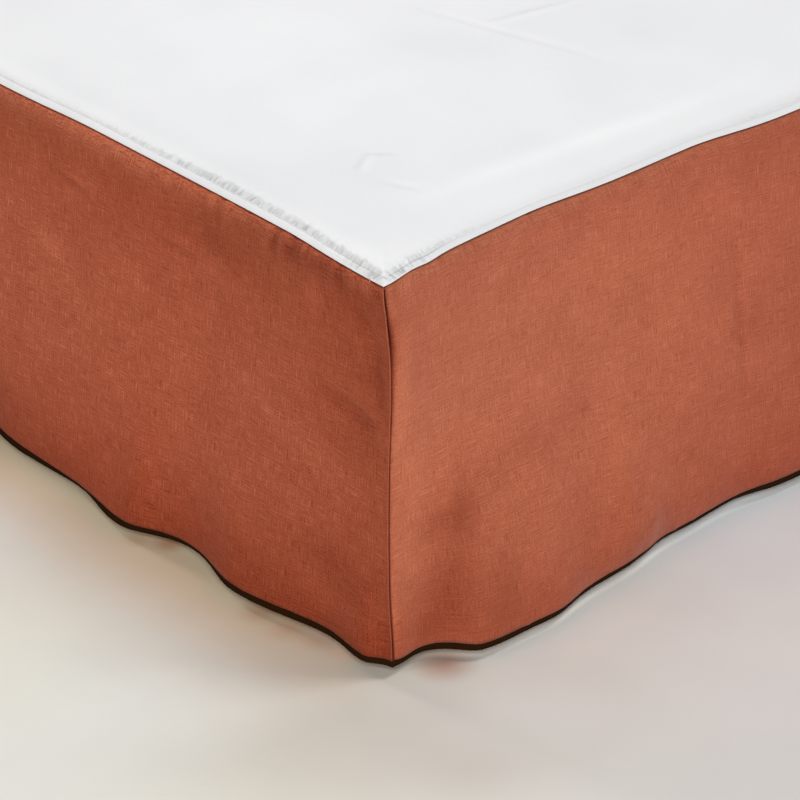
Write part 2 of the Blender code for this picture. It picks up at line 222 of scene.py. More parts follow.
def bedSides():
    width, length = 2 * hangX, 2 * hangY
    foot = BedSide((hangX, -hangY), (-1, 0), (0, -1), width, footShape)
    right = BedSide((hangX, -hangY), (0, 1), (1, 0), length, rightShape)
    left = BedSide((-hangX, -hangY), (0, 1), (-1, 0), length, leftShape)
    head = BedSide((hangX, hangY), (-1, 0), (0, 1), width, bareShape)
    foot.starts, foot.ends = (right, 0.0), (left, 0.0)
    right.starts, left.starts = (foot, 0.0), (foot, width)
    return {"foot": foot, "right": right, "left": left, "head": head}


sides = bedSides()


def stationsTo(runs):
    # distances along an edge: each run goes on to its stop, in steps of about its size
    found = [0.0]
    for stop, step in runs:
        count = max(1, round((stop - found[-1]) / step))
        found.extend(np.linspace(found[-1], stop, count + 1)[1:])
    return np.array(found)


# linen panels

linen = {
    "thickness": 0.0007,
    "shoulderRows": 8,
    "tuck": 0.0020,             # how far the top edge goes in under the deck
    "tuckRow": 5,               # the row that gives the tuck its direction
    # the groove along the deck's edge: how far down from it, how deep
    "seamGroove": [
        (0.0, 0.0016), (0.0008, 0.0015), (0.0013, 0.0011), (0.0018, 0.0005), (0.0026, 0.0001), (0.0036, 0.0),
    ],
    "waveStart": 0.06,          # the broad waves set in over this drop
    "allowance": 0.011,         # the seam allowance that lies behind the cloth below the seam
    "allowanceStep": 0.00035,
    "allowanceFade": 0.004,
    "cornerFlat": 0.006,        # beside a corner the cloth lies flat
    # a side panel comes out from behind the foot panel's folded edge: how far along, how deep
    "cornerGroove": [
        (0.0026, 0.0040), (0.0028, 0.0024), (0.0032, 0.0014), (0.0036, 0.0010), (0.0040, 0.0007),
        (0.0046, 0.0005), (0.0052, 0.0004), (0.0060, 0.0002), (0.0070, 0.0001), (0.0084, 0.0),
        (0.0100, 0.0), (0.0300, 0.0),
    ],
    "grooveClear": 0.0008,      # the next points lie at least this far past the groove
    "cornerWide": (0.312, 0.070, 0.030, 1.1),   # the groove is wider near this height: below, above, how much
    "creaseScale": 1.9,
    "hollowDepth": 0.0011,      # a crease as deep as this has the full painted shade
    "seamShade": (0.0017, 3.2),     # painted shade along the deck's edge: how far down, how much
    # a painted highlight along the foot panel's folded edge: how wide, how much, how soft at the top, lowest,
    # highest
    "foldLight": (0.0013, 1.3, 0.003, 0.190, 0.320),
    # painted shade, a dark core, on a side panel beside the corner: how wide, from where, how much, how much
    # less high up
    "edgeCore": (0.0024, 0.0009, 4.7, 0.50),
    "edgeHalo": (0.0055, 0.9, 1.7),     # and its painted soft rim of shade: how wide, how much, how much more high up
    "coreSpread": 0.2,
    "dipSeen": 0.9,             # this share of the groove's depth hides cloth from view
    "endHem": 0.012,
    "endHemStep": 0.0005,
    "endHemFade": 0.002,
}
panelGrids = {
    "foot": {"near": (0.560, 0.0032), "far": 0.0072, "rowStep": 0.0033},
    "right": {"near": (0.520, 0.0032), "far": 0.0088, "rowStep": 0.0033},
    "left": {"near": (0.060, 0.0060), "far": 0.0092, "rowStep": 0.0045},
}
# a panel's points lie closer by its ends: how far from the end, in what steps
cornerRuns = [(0.0032, 0.0008), (0.0104, 0.0014)]
farEndRuns = [(0.0032, 0.0018), (0.0, 0.0008)]

# creases pressed or pulled into a panel, a pressed one with painted shade, a pulled one with painted light:
# from (along, height) to (along, height), width, rise
footCreases = [
    ((0.437, 0.312), (0.382, 0.304), 0.0045, -0.0007),
    ((0.430, 0.316), (0.375, 0.309), 0.0040, 0.0005),
    ((0.294, 0.299), (0.228, 0.296), 0.0050, -0.0006),
    ((0.300, 0.306), (0.235, 0.303), 0.0050, 0.0004),
    ((0.345, 0.262), (0.300, 0.238), 0.0070, 0.0004),
    ((0.060, 0.236), (0.022, 0.229), 0.0075, -0.0014),
    ((0.095, 0.246), (0.050, 0.233), 0.0090, -0.0006),
    ((0.034, 0.330), (0.010, 0.300), 0.0060, -0.0006),
    ((0.048, 0.322), (0.028, 0.262), 0.0060, 0.0005),
    ((0.018, 0.300), (0.010, 0.245), 0.0060, -0.0008),
    ((0.160, 0.205), (0.120, 0.186), 0.0080, 0.0004),
    ((0.250, 0.170), (0.205, 0.150), 0.0090, -0.0003),
    ((0.470, 0.245), (0.405, 0.226), 0.0100, 0.0004),
]
rightCreases = [
    ((0.408, 0.262), (0.409, 0.110), 0.0050, -0.0003),
    ((0.418, 0.255), (0.419, 0.120), 0.0060, 0.0002),
    ((0.214, 0.176), (0.222, 0.172), 0.0035, -0.0007),
    ((0.110, 0.330), (0.150, 0.334), 0.0060, 0.0003),
    ((0.300, 0.215), (0.345, 0.222), 0.0080, 0.0003),
    ((0.240, 0.120), (0.300, 0.128), 0.0080, 0.0003),
    ((0.080, 0.200), (0.066, 0.120), 0.0100, -0.0003),
    ((0.072, 0.150), (0.056, 0.020), 0.0130, -0.0007),
    ((0.098, 0.110), (0.086, 0.015), 0.0240, -0.0006),
    ((0.032, 0.250), (0.026, 0.110), 0.0110, 0.0003),
]
leftCreases = [
    ((0.320, 0.300), (0.380, 0.290), 0.0080, -0.0006),
    ((0.800, 0.250), (0.870, 0.240), 0.0080, 0.0005),
    ((1.300, 0.290), (1.360, 0.270), 0.0080, -0.0006),
    ((1.720, 0.220), (1.780, 0.214), 0.0080, 0.0005),
]
# painted light and shade in soft places: along, down from the seam, reach along, reach down, how much darker
footShades = [
    (0.005, 0.007, 0.007, 0.007, 1.3), (0.030, 0.006, 0.010, 0.008, -0.8), (0.058, 0.009, 0.020, 0.010, 1.2),
    (0.122, 0.011, 0.040, 0.010, 1.6), (0.340, 0.010, 0.110, 0.012, -1.3), (0.090, 0.040, 0.010, 0.020, -1.4),
    (0.018, 0.048, 0.012, 0.012, -0.9), (0.028, 0.088, 0.014, 0.012, 0.8), (0.400, 0.045, 0.060, 0.025, -0.4),
    (0.225, 0.070, 0.035, 0.014, -0.8), (0.045, 0.158, 0.060, 0.022, 0.5), (0.055, 0.200, 0.035, 0.016, -0.5),
    (0.070, 0.276, 0.050, 0.016, 0.7), (0.160, 0.315, 0.040, 0.018, 0.5), (0.018, 0.236, 0.018, 0.016, -0.8),
    (0.058, 0.316, 0.036, 0.016, -0.9), (0.215, 0.045, 0.040, 0.018, 0.9), (0.080, 0.180, 0.030, 0.020, -0.6),
    (0.300, 0.300, 0.024, 0.045, 0.6), (0.075, 0.007, 0.016, 0.007, 0.8), (0.085, 0.296, 0.014, 0.014, -0.5),
    (0.800, 0.200, 0.080, 0.080, 0.5), (1.250, 0.160, 0.100, 0.090, -0.5),
]
rightShades = [
    (0.014, 0.110, 0.011, 0.055, -1.1), (0.014, 0.250, 0.016, 0.040, -0.9), (0.038, 0.334, 0.012, 0.012, 1.0),
    (0.058, 0.232, 0.020, 0.018, 1.5), (0.050, 0.290, 0.012, 0.034, 0.8), (0.090, 0.228, 0.022, 0.016, 0.4),
    (0.062, 0.165, 0.030, 0.025, -0.4), (0.006, 0.190, 0.008, 0.016, 0.3), (0.085, 0.285, 0.014, 0.018, -0.4),
    (0.012, 0.032, 0.016, 0.010, 0.8), (0.003, 0.010, 0.004, 0.012, 1.0), (0.006, 0.048, 0.0028, 0.016, 0.9),
    (0.425, 0.175, 0.035, 0.030, 0.6), (0.003, 0.105, 0.003, 0.025, 0.7), (0.004, 0.308, 0.004, 0.030, -1.0),
    (0.043, 0.322, 0.012, 0.014, 0.7), (0.110, 0.322, 0.050, 0.014, 0.1),
    (0.130, 0.200, 0.060, 0.020, 0.5), (0.008, 0.050, 0.006, 0.020, 0.6), (0.260, 0.070, 0.100, 0.030, -0.3),
    (0.800, 0.210, 0.090, 0.080, 0.5), (1.300, 0.150, 0.110, 0.090, -0.5),
]
leftShades = [
    (0.300, 0.120, 0.100, 0.080, 0.5), (0.850, 0.200, 0.120, 0.080, -0.5), (1.400, 0.170, 0.110, 0.090, 0.5),
]
# short puckers that the seam pulls into the cloth, with painted shade and light as the creases have: at, half
# width, rise, how far down
footPuckers = [
    (0.222, 0.0035, 0.0006, 0.022), (0.213, 0.0030, -0.0005, 0.024), (0.204, 0.0034, 0.0006, 0.018),
    (0.180, 0.0030, -0.0004, 0.014), (0.149, 0.0040, 0.0005, 0.030), (0.140, 0.0036, -0.0005, 0.032),
    (0.130, 0.0042, 0.0005, 0.034), (0.118, 0.0036, -0.0005, 0.022), (0.104, 0.0030, 0.0005, 0.018),
    (0.066, 0.0040, 0.0004, 0.026), (0.055, 0.0044, -0.0003, 0.034), (0.043, 0.0044, 0.0004, 0.030),
    (0.030, 0.0036, -0.0003, 0.024), (0.021, 0.0032, 0.0003, 0.020),
]
rightPuckers = [
    (0.014, 0.0036, -0.0005, 0.026), (0.030, 0.0040, 0.0004, 0.022), (0.070, 0.0034, -0.0004, 0.016),
    (0.172, 0.0024, 0.0005, 0.012), (0.179, 0.0024, -0.0004, 0.014), (0.198, 0.0030, 0.0003, 0.012),
]
fineWork = {
    "seed": 11,
    "firstPucker": (0.01, 0.03),
    "endClear": 0.01,           # no puckers this close to a panel's far end
    "spacing": (0.009, 0.034),
    "halfWidth": (0.0018, 0.0042),
    "rise": 0.00022,
    "reach": (0.008, 0.024),
    "puckerMiddle": 0.25,       # a pucker is highest here, as a share of its reach
    "puckerSpread": 0.55,
    "hemReach": (0.005, 0.014),
    "hemRise": 0.00028,
    "creaseEnds": 0.35,         # a crease still has this share of its rise at its ends
    "waves": 26,
    "waveLength": (0.045, 0.22),
    "waveLean": 0.35,
    "waveRise": 0.00030,
}


def randomPuckers(random, length, rise, reach):
    rows, at = [], random.uniform(*fineWork["firstPucker"])
    while at < length - fineWork["endClear"]:
        halfWidth = random.uniform(*fineWork["halfWidth"])
        rows.append((at, halfWidth, random.normal(0, rise), random.uniform(*reach)))
        at += random.uniform(*fineWork["spacing"])
    return rows


def shadeSum(at, down, shades):
    shade = 0
    for along, drop, wide, tall, amount in shades:
        shade = shade + amount * np.exp(-((at - along) / wide) ** 2 - ((down - drop) / tall) ** 2)
    return shade


def puckerRise(at, down, rows):
    rise = np.zeros(np.broadcast(at, down).shape)
    middle, spread = fineWork["puckerMiddle"], fineWork["puckerSpread"]
    for centre, halfWidth, height, reach in rows:
        near = np.abs(at - centre) < 4 * halfWidth
        if not near.any():
            continue
        shape = np.exp(-((at - centre) / halfWidth) ** 2)
        shape = shape * np.exp(-((down - middle * reach) / (spread * reach)) ** 2)
        rise = rise + height * shape
    return rise


def creaseRise(at, z, rows):
    rise = np.zeros(at.shape)
    for start, end, width, height in rows:
        start, end = np.array(start), np.array(end)
        run = end - start
        share = ((at - start[0]) * run[0] + (z - start[1]) * run[1]) / (run @ run)
        nearest = np.clip(share, 0, 1)
        away = np.hypot(at - start[0] - nearest * run[0], z - start[1] - nearest * run[1])
        taper = fineWork["creaseEnds"] + (1 - fineWork["creaseEnds"]) * np.sin(np.pi * nearest)
        rise = rise + height * np.exp(-(away / width) ** 2) * taper
    return rise


def waveRise(random, at, z, count, lengths, height):
    # broad soft unevenness, as a sum of fixed waves that run mostly up and down the cloth
    rise = np.zeros(at.shape)
    for _ in range(count):
        length = random.uniform(*lengths)
        lean = random.normal(0, fineWork["waveLean"])
        phase = random.uniform(0, 2 * np.pi)
        across = at * np.cos(lean) + z * np.sin(lean)
        rise += np.sin(2 * np.pi * across / length + phase) * length / lengths[1]
    return rise * height * math.sqrt(2 / count) * 2


def gridNormals(points, outward):
    across = unit(np.cross(np.gradient(points, axis=0), np.gradient(points, axis=1)))
    middle = across[across.shape[0] // 2, across.shape[1] // 2]
    return across if middle[:2] @ outward > 0 else -across


def panelStations(name):
    length, plan = sides[name].length, panelGrids[name]
    endRuns = [(length - cornerRuns[-1][0], plan["far"])] + [(length - gap, step) for gap, step in farEndRuns]
    at = stationsTo(cornerRuns + [plan["near"]] + endRuns)
    if name == "foot":
        return at
    groove = np.array([along for along, depth in linen["cornerGroove"][:-1]])
    return np.concatenate([groove, at[at > groove[-1] + linen["grooveClear"]]])


def panelRows(side, at, rowStep):
    # points over the shoulder and down to the hem, and how far down the cloth each row lies
    seamTurn = side.seamTurn(at)
    rows, downs = [], []
    radius, count = hang["shoulderRadius"], linen["shoulderRows"]
    arc = radius * (np.pi / 2 - seamTurn)
    first = [distance for distance, depth in linen["seamGroove"]]
    shares = [distance / arc for distance in first]
    shares += [first[-1] / arc + (1 - first[-1] / arc) * step / count for step in range(1, count + 1)]
    for share in shares:
        turn = seamTurn + (np.pi / 2 - seamTurn) * share
        cornerTurn = hang["seamTurn"] + (np.pi / 2 - hang["seamTurn"]) * share
        rows.append(side.shoulderPoint(at, turn, arcInset(cornerTurn)))
        downs.append(radius * (turn - seamTurn))
    for z in np.linspace(shoulderZ, hemZ, round((shoulderZ - hemZ) / rowStep) + 1)[1:]:
        rows.append(side.hangingPoint(at, z))
        downs.append(arc + shoulderZ - z)
    return np.array(rows), np.array(downs)


def besideCorner(at, z):
    # how deep a side panel lies behind the foot panel's folded edge, and the shade painted there
    height, below, above, wider = linen["cornerWide"]
    high = hump(z, height, below, above)
    spread = 1 + wider * high
    dip = np.interp(at / spread, *zip(*linen["cornerGroove"]))
    seen = at - linen["dipSeen"] * dip
    width, start, amount, less = linen["edgeCore"]
    width = width * (1 + linen["coreSpread"] * (spread - 1))
    core = amount * (1 - less * high) * (1 - ease((seen - start) / width))
    width, amount, more = linen["edgeHalo"]
    halo = (amount + more * high) * (1 - ease(seen / (width * spread)))
    return dip, core + halo


def panelSurface(name, creases, puckers, shades, seed):
    # the outer face as rows of points from the seam to the hem, with cloth coordinates
    side, length = sides[name], sides[name].length
    at = panelStations(name)
    points, down = panelRows(side, at, panelGrids[name]["rowStep"])
    z = points[..., 2]
    atGrid = np.broadcast_to(at, z.shape)
    normals = gridNormals(points, side.outward)
    random = np.random.default_rng(fineWork["seed"] + seed)
    rise = waveRise(random, atGrid, z, fineWork["waves"], fineWork["waveLength"], fineWork["waveRise"])
    rise *= ease(down / linen["waveStart"])
    pressed = linen["creaseScale"] * (creaseRise(atGrid, z, creases) + puckerRise(atGrid, down, puckers))
    rise += pressed
    seamPuckers = randomPuckers(random, length, fineWork["rise"], fineWork["reach"])
    rise += puckerRise(atGrid, down, seamPuckers)
    hemPuckers = randomPuckers(random, length, fineWork["hemRise"], fineWork["hemReach"])
    rise += puckerRise(atGrid, z - hemZ, hemPuckers)
    rise += linen["allowanceStep"] * (1 - ease((down - linen["allowance"]) / linen["allowanceFade"]))
    fromCorner = np.minimum(atGrid, length - atGrid) if name == "foot" else atGrid
    rise *= ease(fromCorner / linen["cornerFlat"])
    rise -= np.interp(down, *zip(*linen["seamGroove"]))
    if name != "foot":
        rise += linen["endHemStep"] * ease((atGrid - length + linen["endHem"]) / linen["endHemFade"])
    points = points + normals * rise[..., None]
    # painted shade in pressed creases and painted light on pulled ones, with painted light and shade in soft
    # places
    paintedShade = np.clip(-pressed / linen["hollowDepth"], -1, 1) + shadeSum(atGrid, down, shades)
    # painted shade along the deck's edge
    reach, amount = linen["seamShade"]
    paintedShade += amount * (1 - ease(down / reach))
    if name == "foot":
        # a painted highlight on the foot panel's folded edge
        reach, amount, start, lowest, highest = linen["foldLight"]
        light = amount * (1 - ease(fromCorner / reach)) * ease(down / start)
        paintedShade -= light * ease((z - lowest) / (highest - lowest))
    else:
        # the side panel sinks behind the fold, with painted shade in the groove
        dip, shade = besideCorner(atGrid, z)
        points[..., :2] -= dip[..., None] * side.outward
        paintedShade += shade
    return at, points, down, paintedShade


def clothBody(name, outer, thickness, uvs, material, paintedShade):
    # a closed thin body from the grid of its outer face, with the cloth's own coordinates
    across = unit(np.cross(np.gradient(outer, axis=0), np.gradient(outer, axis=1)))
    rows, columns = outer.shape[:2]
    underDeck = np.array([0.0, 0.0, 0.2])
    middle = (rows // 2, columns // 2)
    if across[middle] @ (outer[middle] - underDeck) < 0:
        across = -across
    inner = outer - across * np.broadcast_to(thickness, (rows, columns))[..., None]
    count = rows * columns
    index = np.arange(count).reshape(rows, columns)
    quads = np.stack([index[:-1, :-1], index[1:, :-1], index[1:, 1:], index[:-1, 1:]], axis=-1).reshape(-1, 4)
    rim = np.concatenate([index[0, :-1], index[:-1, -1], index[-1, :0:-1], index[:0:-1, 0]])
    nextRim = np.roll(rim, -1)
    edge = np.stack([rim, nextRim, nextRim + count, rim + count], axis=-1)
    faces = np.concatenate([quads, quads[:, ::-1] + count, edge])
    points = np.concatenate([outer.reshape(-1, 3), inner.reshape(-1, 3)])
    cloth = np.concatenate([uvs.reshape(-1, 2)] * 2)
    return meshPiece(name, points, faces, material, cloth, np.concatenate([paintedShade.ravel()] * 2))


def newObject(name, data):
    piece = bpy.data.objects.new(name, data)
    bpy.context.scene.collection.objects.link(piece)
    return piece


def meshPiece(name, points, faces, material, cloth=None, paintedShade=None):
    mesh = bpy.data.meshes.new(name)
    mesh.from_pydata(points.tolist(), [], [tuple(face) for face in faces])
    # each point's painted shade (above 0) or painted light (below 0), kept for the material
    if paintedShade is not None:
        layer = mesh.attributes.new("paintedShade", "FLOAT", "POINT")
        layer.data.foreach_set("value", paintedShade.astype(np.float32))
    if cloth is not None:
        layer = mesh.uv_layers.new(name="cloth")
        corners = np.empty(len(mesh.loops), dtype=np.int32)
        mesh.loops.foreach_get("vertex_index", corners)
        layer.data.foreach_set("uv", cloth[corners].astype(np.float32).ravel())
    shape = bmesh.new()
    shape.from_mesh(mesh)
    bmesh.ops.recalc_face_normals(shape, faces=shape.faces)
    shape.to_mesh(mesh)
    shape.free()
    mesh.shade_smooth()
    mesh.materials.append(material)
    return newObject(name, mesh)


def linenPanel(name, pieceName, creases, puckers, shades, seed, material):
    at, points, down, paintedShade = panelSurface(name, creases, puckers, shades, seed)
    tucked = points[0] - unit(points[linen["tuckRow"]] - points[0]) * linen["tuck"]
    points = np.concatenate([tucked[None], points])
    down = np.concatenate([down[:1] - linen["tuck"], down])
    paintedShade = np.concatenate([paintedShade[:1], paintedShade])
    uvs = np.stack([np.broadcast_to(at, down.shape), -down], axis=-1)
    return clothBody(pieceName, points, linen["thickness"], uvs, material, paintedShade)


# materials

def newMaterial(name, roughness, specular=0.3):
    material = bpy.data.materials.new(name)
    material.use_nodes = True
    tree = material.node_tree
    shader = tree.nodes["Principled BSDF"]
    shader.inputs["Roughness"].default_value = roughness
    shader.inputs["Specular IOR Level"].default_value = specular
    return material, tree, shader


def addNode(tree, kind, inputs=None, **settings):
    node = tree.nodes.new(kind)
    for key, value in settings.items():
        setattr(node, key, value)
    for key, value in (inputs or {}).items():
        if isinstance(value, bpy.types.NodeSocket):
            tree.links.new(value, node.inputs[key])
        else:
            node.inputs[key].default_value = value
    return node


def mathNode(tree, operation, first, second=0.0, third=0.0):
    return addNode(tree, "ShaderNodeMath", {0: first, 1: second, 2: third}, operation=operation).outputs[0]


def rangeNode(tree, value, low, high, atLow=0.0, atHigh=1.0, blend="LINEAR"):
    inputs = {0: value, 1: low, 2: high, 3: atLow, 4: atHigh}
    return addNode(tree, "ShaderNodeMapRange", inputs, interpolation_type=blend).outputs[0]


def mixedColour(tree, share, first, second, blend="MIX"):
    # each colour is a socket or three numbers
    inputs = {0: share}
    for key, colour in ((6, first), (7, second)):
        inputs[key] = colour if isinstance(colour, bpy.types.NodeSocket) else (*colour, 1)
    return addNode(tree, "ShaderNodeMix", inputs, data_type="RGBA", blend_type=blend).outputs[2]


def multiplied(tree, colour, other, share=1.0):
    return mixedColour(tree, share, colour, other, "MULTIPLY")


def noiseNode(tree, place, scale, detail, roughness=0.5):
    inputs = {"Vector": place, "Scale": scale, "Detail": detail, "Roughness": roughness}
    return addNode(tree, "ShaderNodeTexNoise", inputs).outputs["Fac"]


def stretchedNoise(tree, source, scale, detail=2.0, roughness=0.5, turn=0.0):
    mapped = addNode(tree, "ShaderNodeMapping", {"Vector": source, "Scale": scale, "Rotation": (0, 0, turn)})
    return noiseNode(tree, mapped.outputs[0], 1.0, detail, roughness)


def objectPlace(tree):
    return addNode(tree, "ShaderNodeTexCoord").outputs["Object"]


def clothPlace(tree):
    return addNode(tree, "ShaderNodeUVMap", uv_map="cloth").outputs[0]


def paintedShadeFactor(tree, amount):
    # 1 on open cloth; painted shade makes it less in a crease or a soft dark place, painted light makes it
    # more on a ridge or a soft light place
    paintedShade = addNode(tree, "ShaderNodeAttribute", attribute_name="paintedShade").outputs["Fac"]
    return mathNode(tree, "MULTIPLY_ADD", paintedShade, -amount, 1.0)


def addBump(tree, shader, height, distance, strength=0.8):
    bump = addNode(tree, "ShaderNodeBump", {"Height": height, "Distance": distance, "Strength": strength})
    tree.links.new(bump.outputs[0], shader.inputs["Normal"])


linenFinish = {
    "yarn": 840.0,              # streaks a metre across the yarns
    "run": 62.0,                # streaks a metre along them
    "streaks": 9.0,             # how strongly the thicker yarns show
    "grain": (900.0, 0.50),
    "contrast": (0.36, 0.64),   # noise as low as this has the deep colour, as high as this the light one
    "slub": (62.0, 1050.0),
    "slubStart": (0.655, 0.070),
    "slubShare": 0.36,
    "slubColour": (0.620, 0.205, 0.115),
    "rub": (0.015, 0.005),      # along the seam the cloth is rubbed uneven: from, to
    "fleck": (200, 620, 1),
    "patchScale": 22.0,
    "patchTone": (0.95, 1.05),
    "weave": 1750.0,
    "weaveHeight": 0.18,
    "slubHeight": 0.35,
    "roughness": 0.90,
    "sheenRoughness": 0.45,
    "sheenTint": (1.0, 0.86, 0.78),
    "bump": 0.00009,
    "drop": 0.362,              # from the seam to the hem, along the cloth
    "reach": 0.50,              # the tone along the cloth changes over this length
    "paintedShade": 0.15,             # how much darker painted shade makes a crease or a soft dark place
    "depth": (1.0, 1.45, 1.65),     # a darker tone, from the random patches or the painted shade, is a deeper red
}
# one linen in two copies: the foot's is the shaded copy, the sides' a paler, whiter copy with more sheen,
# painted as lit from the right
shadedFootColours = {
    "deep": (0.285, 0.051, 0.021), "body": (0.422, 0.095, 0.043), "light": (0.550, 0.142, 0.072),
    "sheen": 0.06, "specular": 0.08, "rub": 0.50,
}
litSideColours = {
    "deep": (0.335, 0.077, 0.034), "body": (0.450, 0.119, 0.057), "light": (0.550, 0.160, 0.084),
    "sheen": 0.18, "specular": 0.12, "rub": 0.30,
}
# painted shade down the cloth, from the seam to the hem, darker just below the seam and towards the hem:
# where, then red, green, blue
footTone = [
    (0, 1.00, 1.00, 1.00), (0.012, 0.99, 1.00, 1.00), (0.028, 0.83, 0.86, 0.87), (0.05, 0.77, 0.72, 0.70),
    (0.08, 0.80, 0.72, 0.69), (0.14, 0.86, 0.79, 0.74), (0.25, 0.93, 0.89, 0.89), (0.38, 1.00, 1.00, 1.00),
    (0.55, 1.00, 1.00, 1.00), (0.7, 1.00, 0.97, 0.98), (0.82, 0.89, 0.79, 0.75), (0.92, 0.80, 0.65, 0.59),
    (1, 0.66, 0.49, 0.39),
]
sideTone = [
    (0, 0.88, 0.98, 1.00), (0.03, 0.83, 0.84, 0.90), (0.07, 0.95, 0.92, 0.94), (0.13, 1.00, 0.98, 0.98),
    (0.22, 1.00, 1.00, 1.00), (0.36, 1.00, 1.01, 1.03), (0.55, 1.00, 1.01, 1.03), (0.72, 0.97, 0.95, 0.92),
    (0.86, 0.92, 0.83, 0.80), (1, 0.82, 0.64, 0.58),
]
# painted shade and light along the cloth from the corner: the foot darker by the corner, a side darker
# further along
footAlong = [
    (0, 0.78, 0.74, 0.69), (0.1, 0.86, 0.81, 0.80), (0.2, 0.91, 0.94, 0.96), (0.32, 0.94, 0.97, 0.98),
    (0.5, 1.00, 1.00, 1.00), (0.72, 1.00, 1.01, 1.02), (1, 1.03, 1.10, 1.16),
]
sideAlong = [
    (0, 1.00, 1.00, 1.00), (0.08, 1.00, 1.00, 1.01), (0.16, 0.97, 1.00, 1.02), (0.26, 0.98, 1.00, 1.03),
    (0.42, 1.00, 1.00, 1.02), (0.6, 1.00, 1.00, 1.00), (0.8, 1.00, 0.94, 0.95), (1, 0.92, 0.83, 0.84),
]


def toneRamp(tree, factor, tones):
    # a soft ramp holds no value above 1, so it holds half of each and is doubled
    ramp = addNode(tree, "ShaderNodeValToRGB", {0: factor})
    ramp.color_ramp.interpolation = "B_SPLINE"
    stops = ramp.color_ramp.elements
    half = [(place, [0.5 * value for value in tone]) for place, *tone in tones]
    stops[0].position, stops[0].color = 0.0, (*half[0][1], 1)
    stops[1].position, stops[1].color = 1.0, (*half[-1][1], 1)
    for place, tone in half[1:-1]:
        stops.new(place).color = (*tone, 1)
    return multiplied(tree, ramp.outputs[0], (2.0, 2.0, 2.0))


def strongOnly(tree, noise):
    # only the ends of the noise stay, so the thick yarns are few
    away = mathNode(tree, "SUBTRACT", noise, 0.5)
    return mathNode(tree, "MULTIPLY", mathNode(tree, "MULTIPLY", away, away), away)


def toned(tree, colour, tone, depth):
    channels = [mathNode(tree, "POWER", tone, power) for power in depth]
    grey = addNode(tree, "ShaderNodeCombineColor", dict(enumerate(channels)))
    return multiplied(tree, colour, grey.outputs[0])


def yarnStreaks(tree, cloth, down, rubbed):
    # thicker and thinner yarns both ways, over a fine grain
    finish = linenFinish
    weft = strongOnly(tree, stretchedNoise(tree, cloth, (finish["run"], finish["yarn"], 1), 1.0))
    warp = strongOnly(tree, stretchedNoise(tree, cloth, (finish["yarn"], finish["run"], 1), 1.0))
    grainScale, grainShare = finish["grain"]
    grain = stretchedNoise(tree, cloth, (grainScale, grainScale, 1), 1.0)
    grain = mathNode(tree, "MULTIPLY_ADD", grain, grainShare, 0.5 - 0.5 * grainShare)
    streaks = mathNode(tree, "MULTIPLY_ADD", mathNode(tree, "ADD", weft, warp), finish["streaks"], grain)
    rubFrom, rubTo = finish["rub"]
    rubbing = rangeNode(tree, down, -rubFrom, -rubTo, 0.0, rubbed)
    flecks = mathNode(tree, "SUBTRACT", stretchedNoise(tree, cloth, finish["fleck"], 2.0, 0.6, 0.5), 0.5)
    return mathNode(tree, "MULTIPLY_ADD", flecks, rubbing, streaks)


def yarnSlubs(tree, cloth):
    alongSlub, acrossSlub = linenFinish["slub"]
    weftSlub = stretchedNoise(tree, cloth, (alongSlub, acrossSlub, 1), 0.0)
    warpSlub = stretchedNoise(tree, cloth, (acrossSlub, alongSlub, 1), 0.0)
    start, soft = linenFinish["slubStart"]
    return rangeNode(tree, mathNode(tree, "MAXIMUM", weftSlub, warpSlub), start, start + soft)


def linenMaterial(name, colours, tones, alongTones):
    finish = linenFinish
    material, tree, shader = newMaterial(name, finish["roughness"], colours["specular"])
    cloth = clothPlace(tree)
    along, down = addNode(tree, "ShaderNodeSeparateXYZ", {0: cloth}).outputs[:2]
    streaks = yarnStreaks(tree, cloth, down, colours["rub"])
    slubs = yarnSlubs(tree, cloth)
    ramp = addNode(tree, "ShaderNodeValToRGB", {0: rangeNode(tree, streaks, *finish["contrast"])})
    stops = ramp.color_ramp.elements
    stops[0].position, stops[0].color = 0.0, (*colours["deep"], 1)
    stops[1].position, stops[1].color = 1.0, (*colours["light"], 1)
    stops.new(0.5).color = (*colours["body"], 1)
    # painted shade down the cloth and along it from the corner
    fade = toneRamp(tree, mathNode(tree, "DIVIDE", down, -finish["drop"]), tones)
    alongFade = toneRamp(tree, mathNode(tree, "DIVIDE", along, finish["reach"]), alongTones)
    patch = noiseNode(tree, cloth, finish["patchScale"], 4.0)
    brightness = rangeNode(tree, patch, 0.3, 0.7, *finish["patchTone"])
    # painted shade and painted light from the points' values
    brightness = mathNode(tree, "MULTIPLY", brightness, paintedShadeFactor(tree, finish["paintedShade"]))
    slubShare = mathNode(tree, "MULTIPLY", slubs, finish["slubShare"])
    colour = mixedColour(tree, slubShare, ramp.outputs[0], finish["slubColour"])
    colour = multiplied(tree, colour, multiplied(tree, fade, alongFade))
    colour = toned(tree, colour, brightness, finish["depth"])
    tree.links.new(colour, shader.inputs["Base Color"])
    turns = finish["weave"] * math.pi
    yarns = [mathNode(tree, "SINE", mathNode(tree, "MULTIPLY", way, turns)) for way in (along, down)]
    checks = mathNode(tree, "MULTIPLY", *yarns)
    height = mathNode(tree, "MULTIPLY_ADD", slubs, finish["slubHeight"], streaks)
    height = mathNode(tree, "MULTIPLY_ADD", checks, finish["weaveHeight"], height)
    addBump(tree, shader, height, finish["bump"], 1.0)
    shader.inputs["Sheen Weight"].default_value = colours["sheen"]
    shader.inputs["Sheen Roughness"].default_value = finish["sheenRoughness"]
    shader.inputs["Sheen Tint"].default_value = (*finish["sheenTint"], 1)
    return material


cottonFinish = {
    "colour": (0.842, 0.844, 0.852),
    "shade": (0.775, 0.778, 0.787),
    "contrast": (0.35, 0.62),
    "cloud": 7.0,               # broad soft unevenness of the white
    "weave": 2600.0,
    "weaveStretch": 0.3,
    "roughness": 0.9,
    "specular": 0.2,
    "bump": 0.00006,
    "sheen": 0.1,
    # how much darker painted shade makes the white
    "paintedShade": 0.22,
}


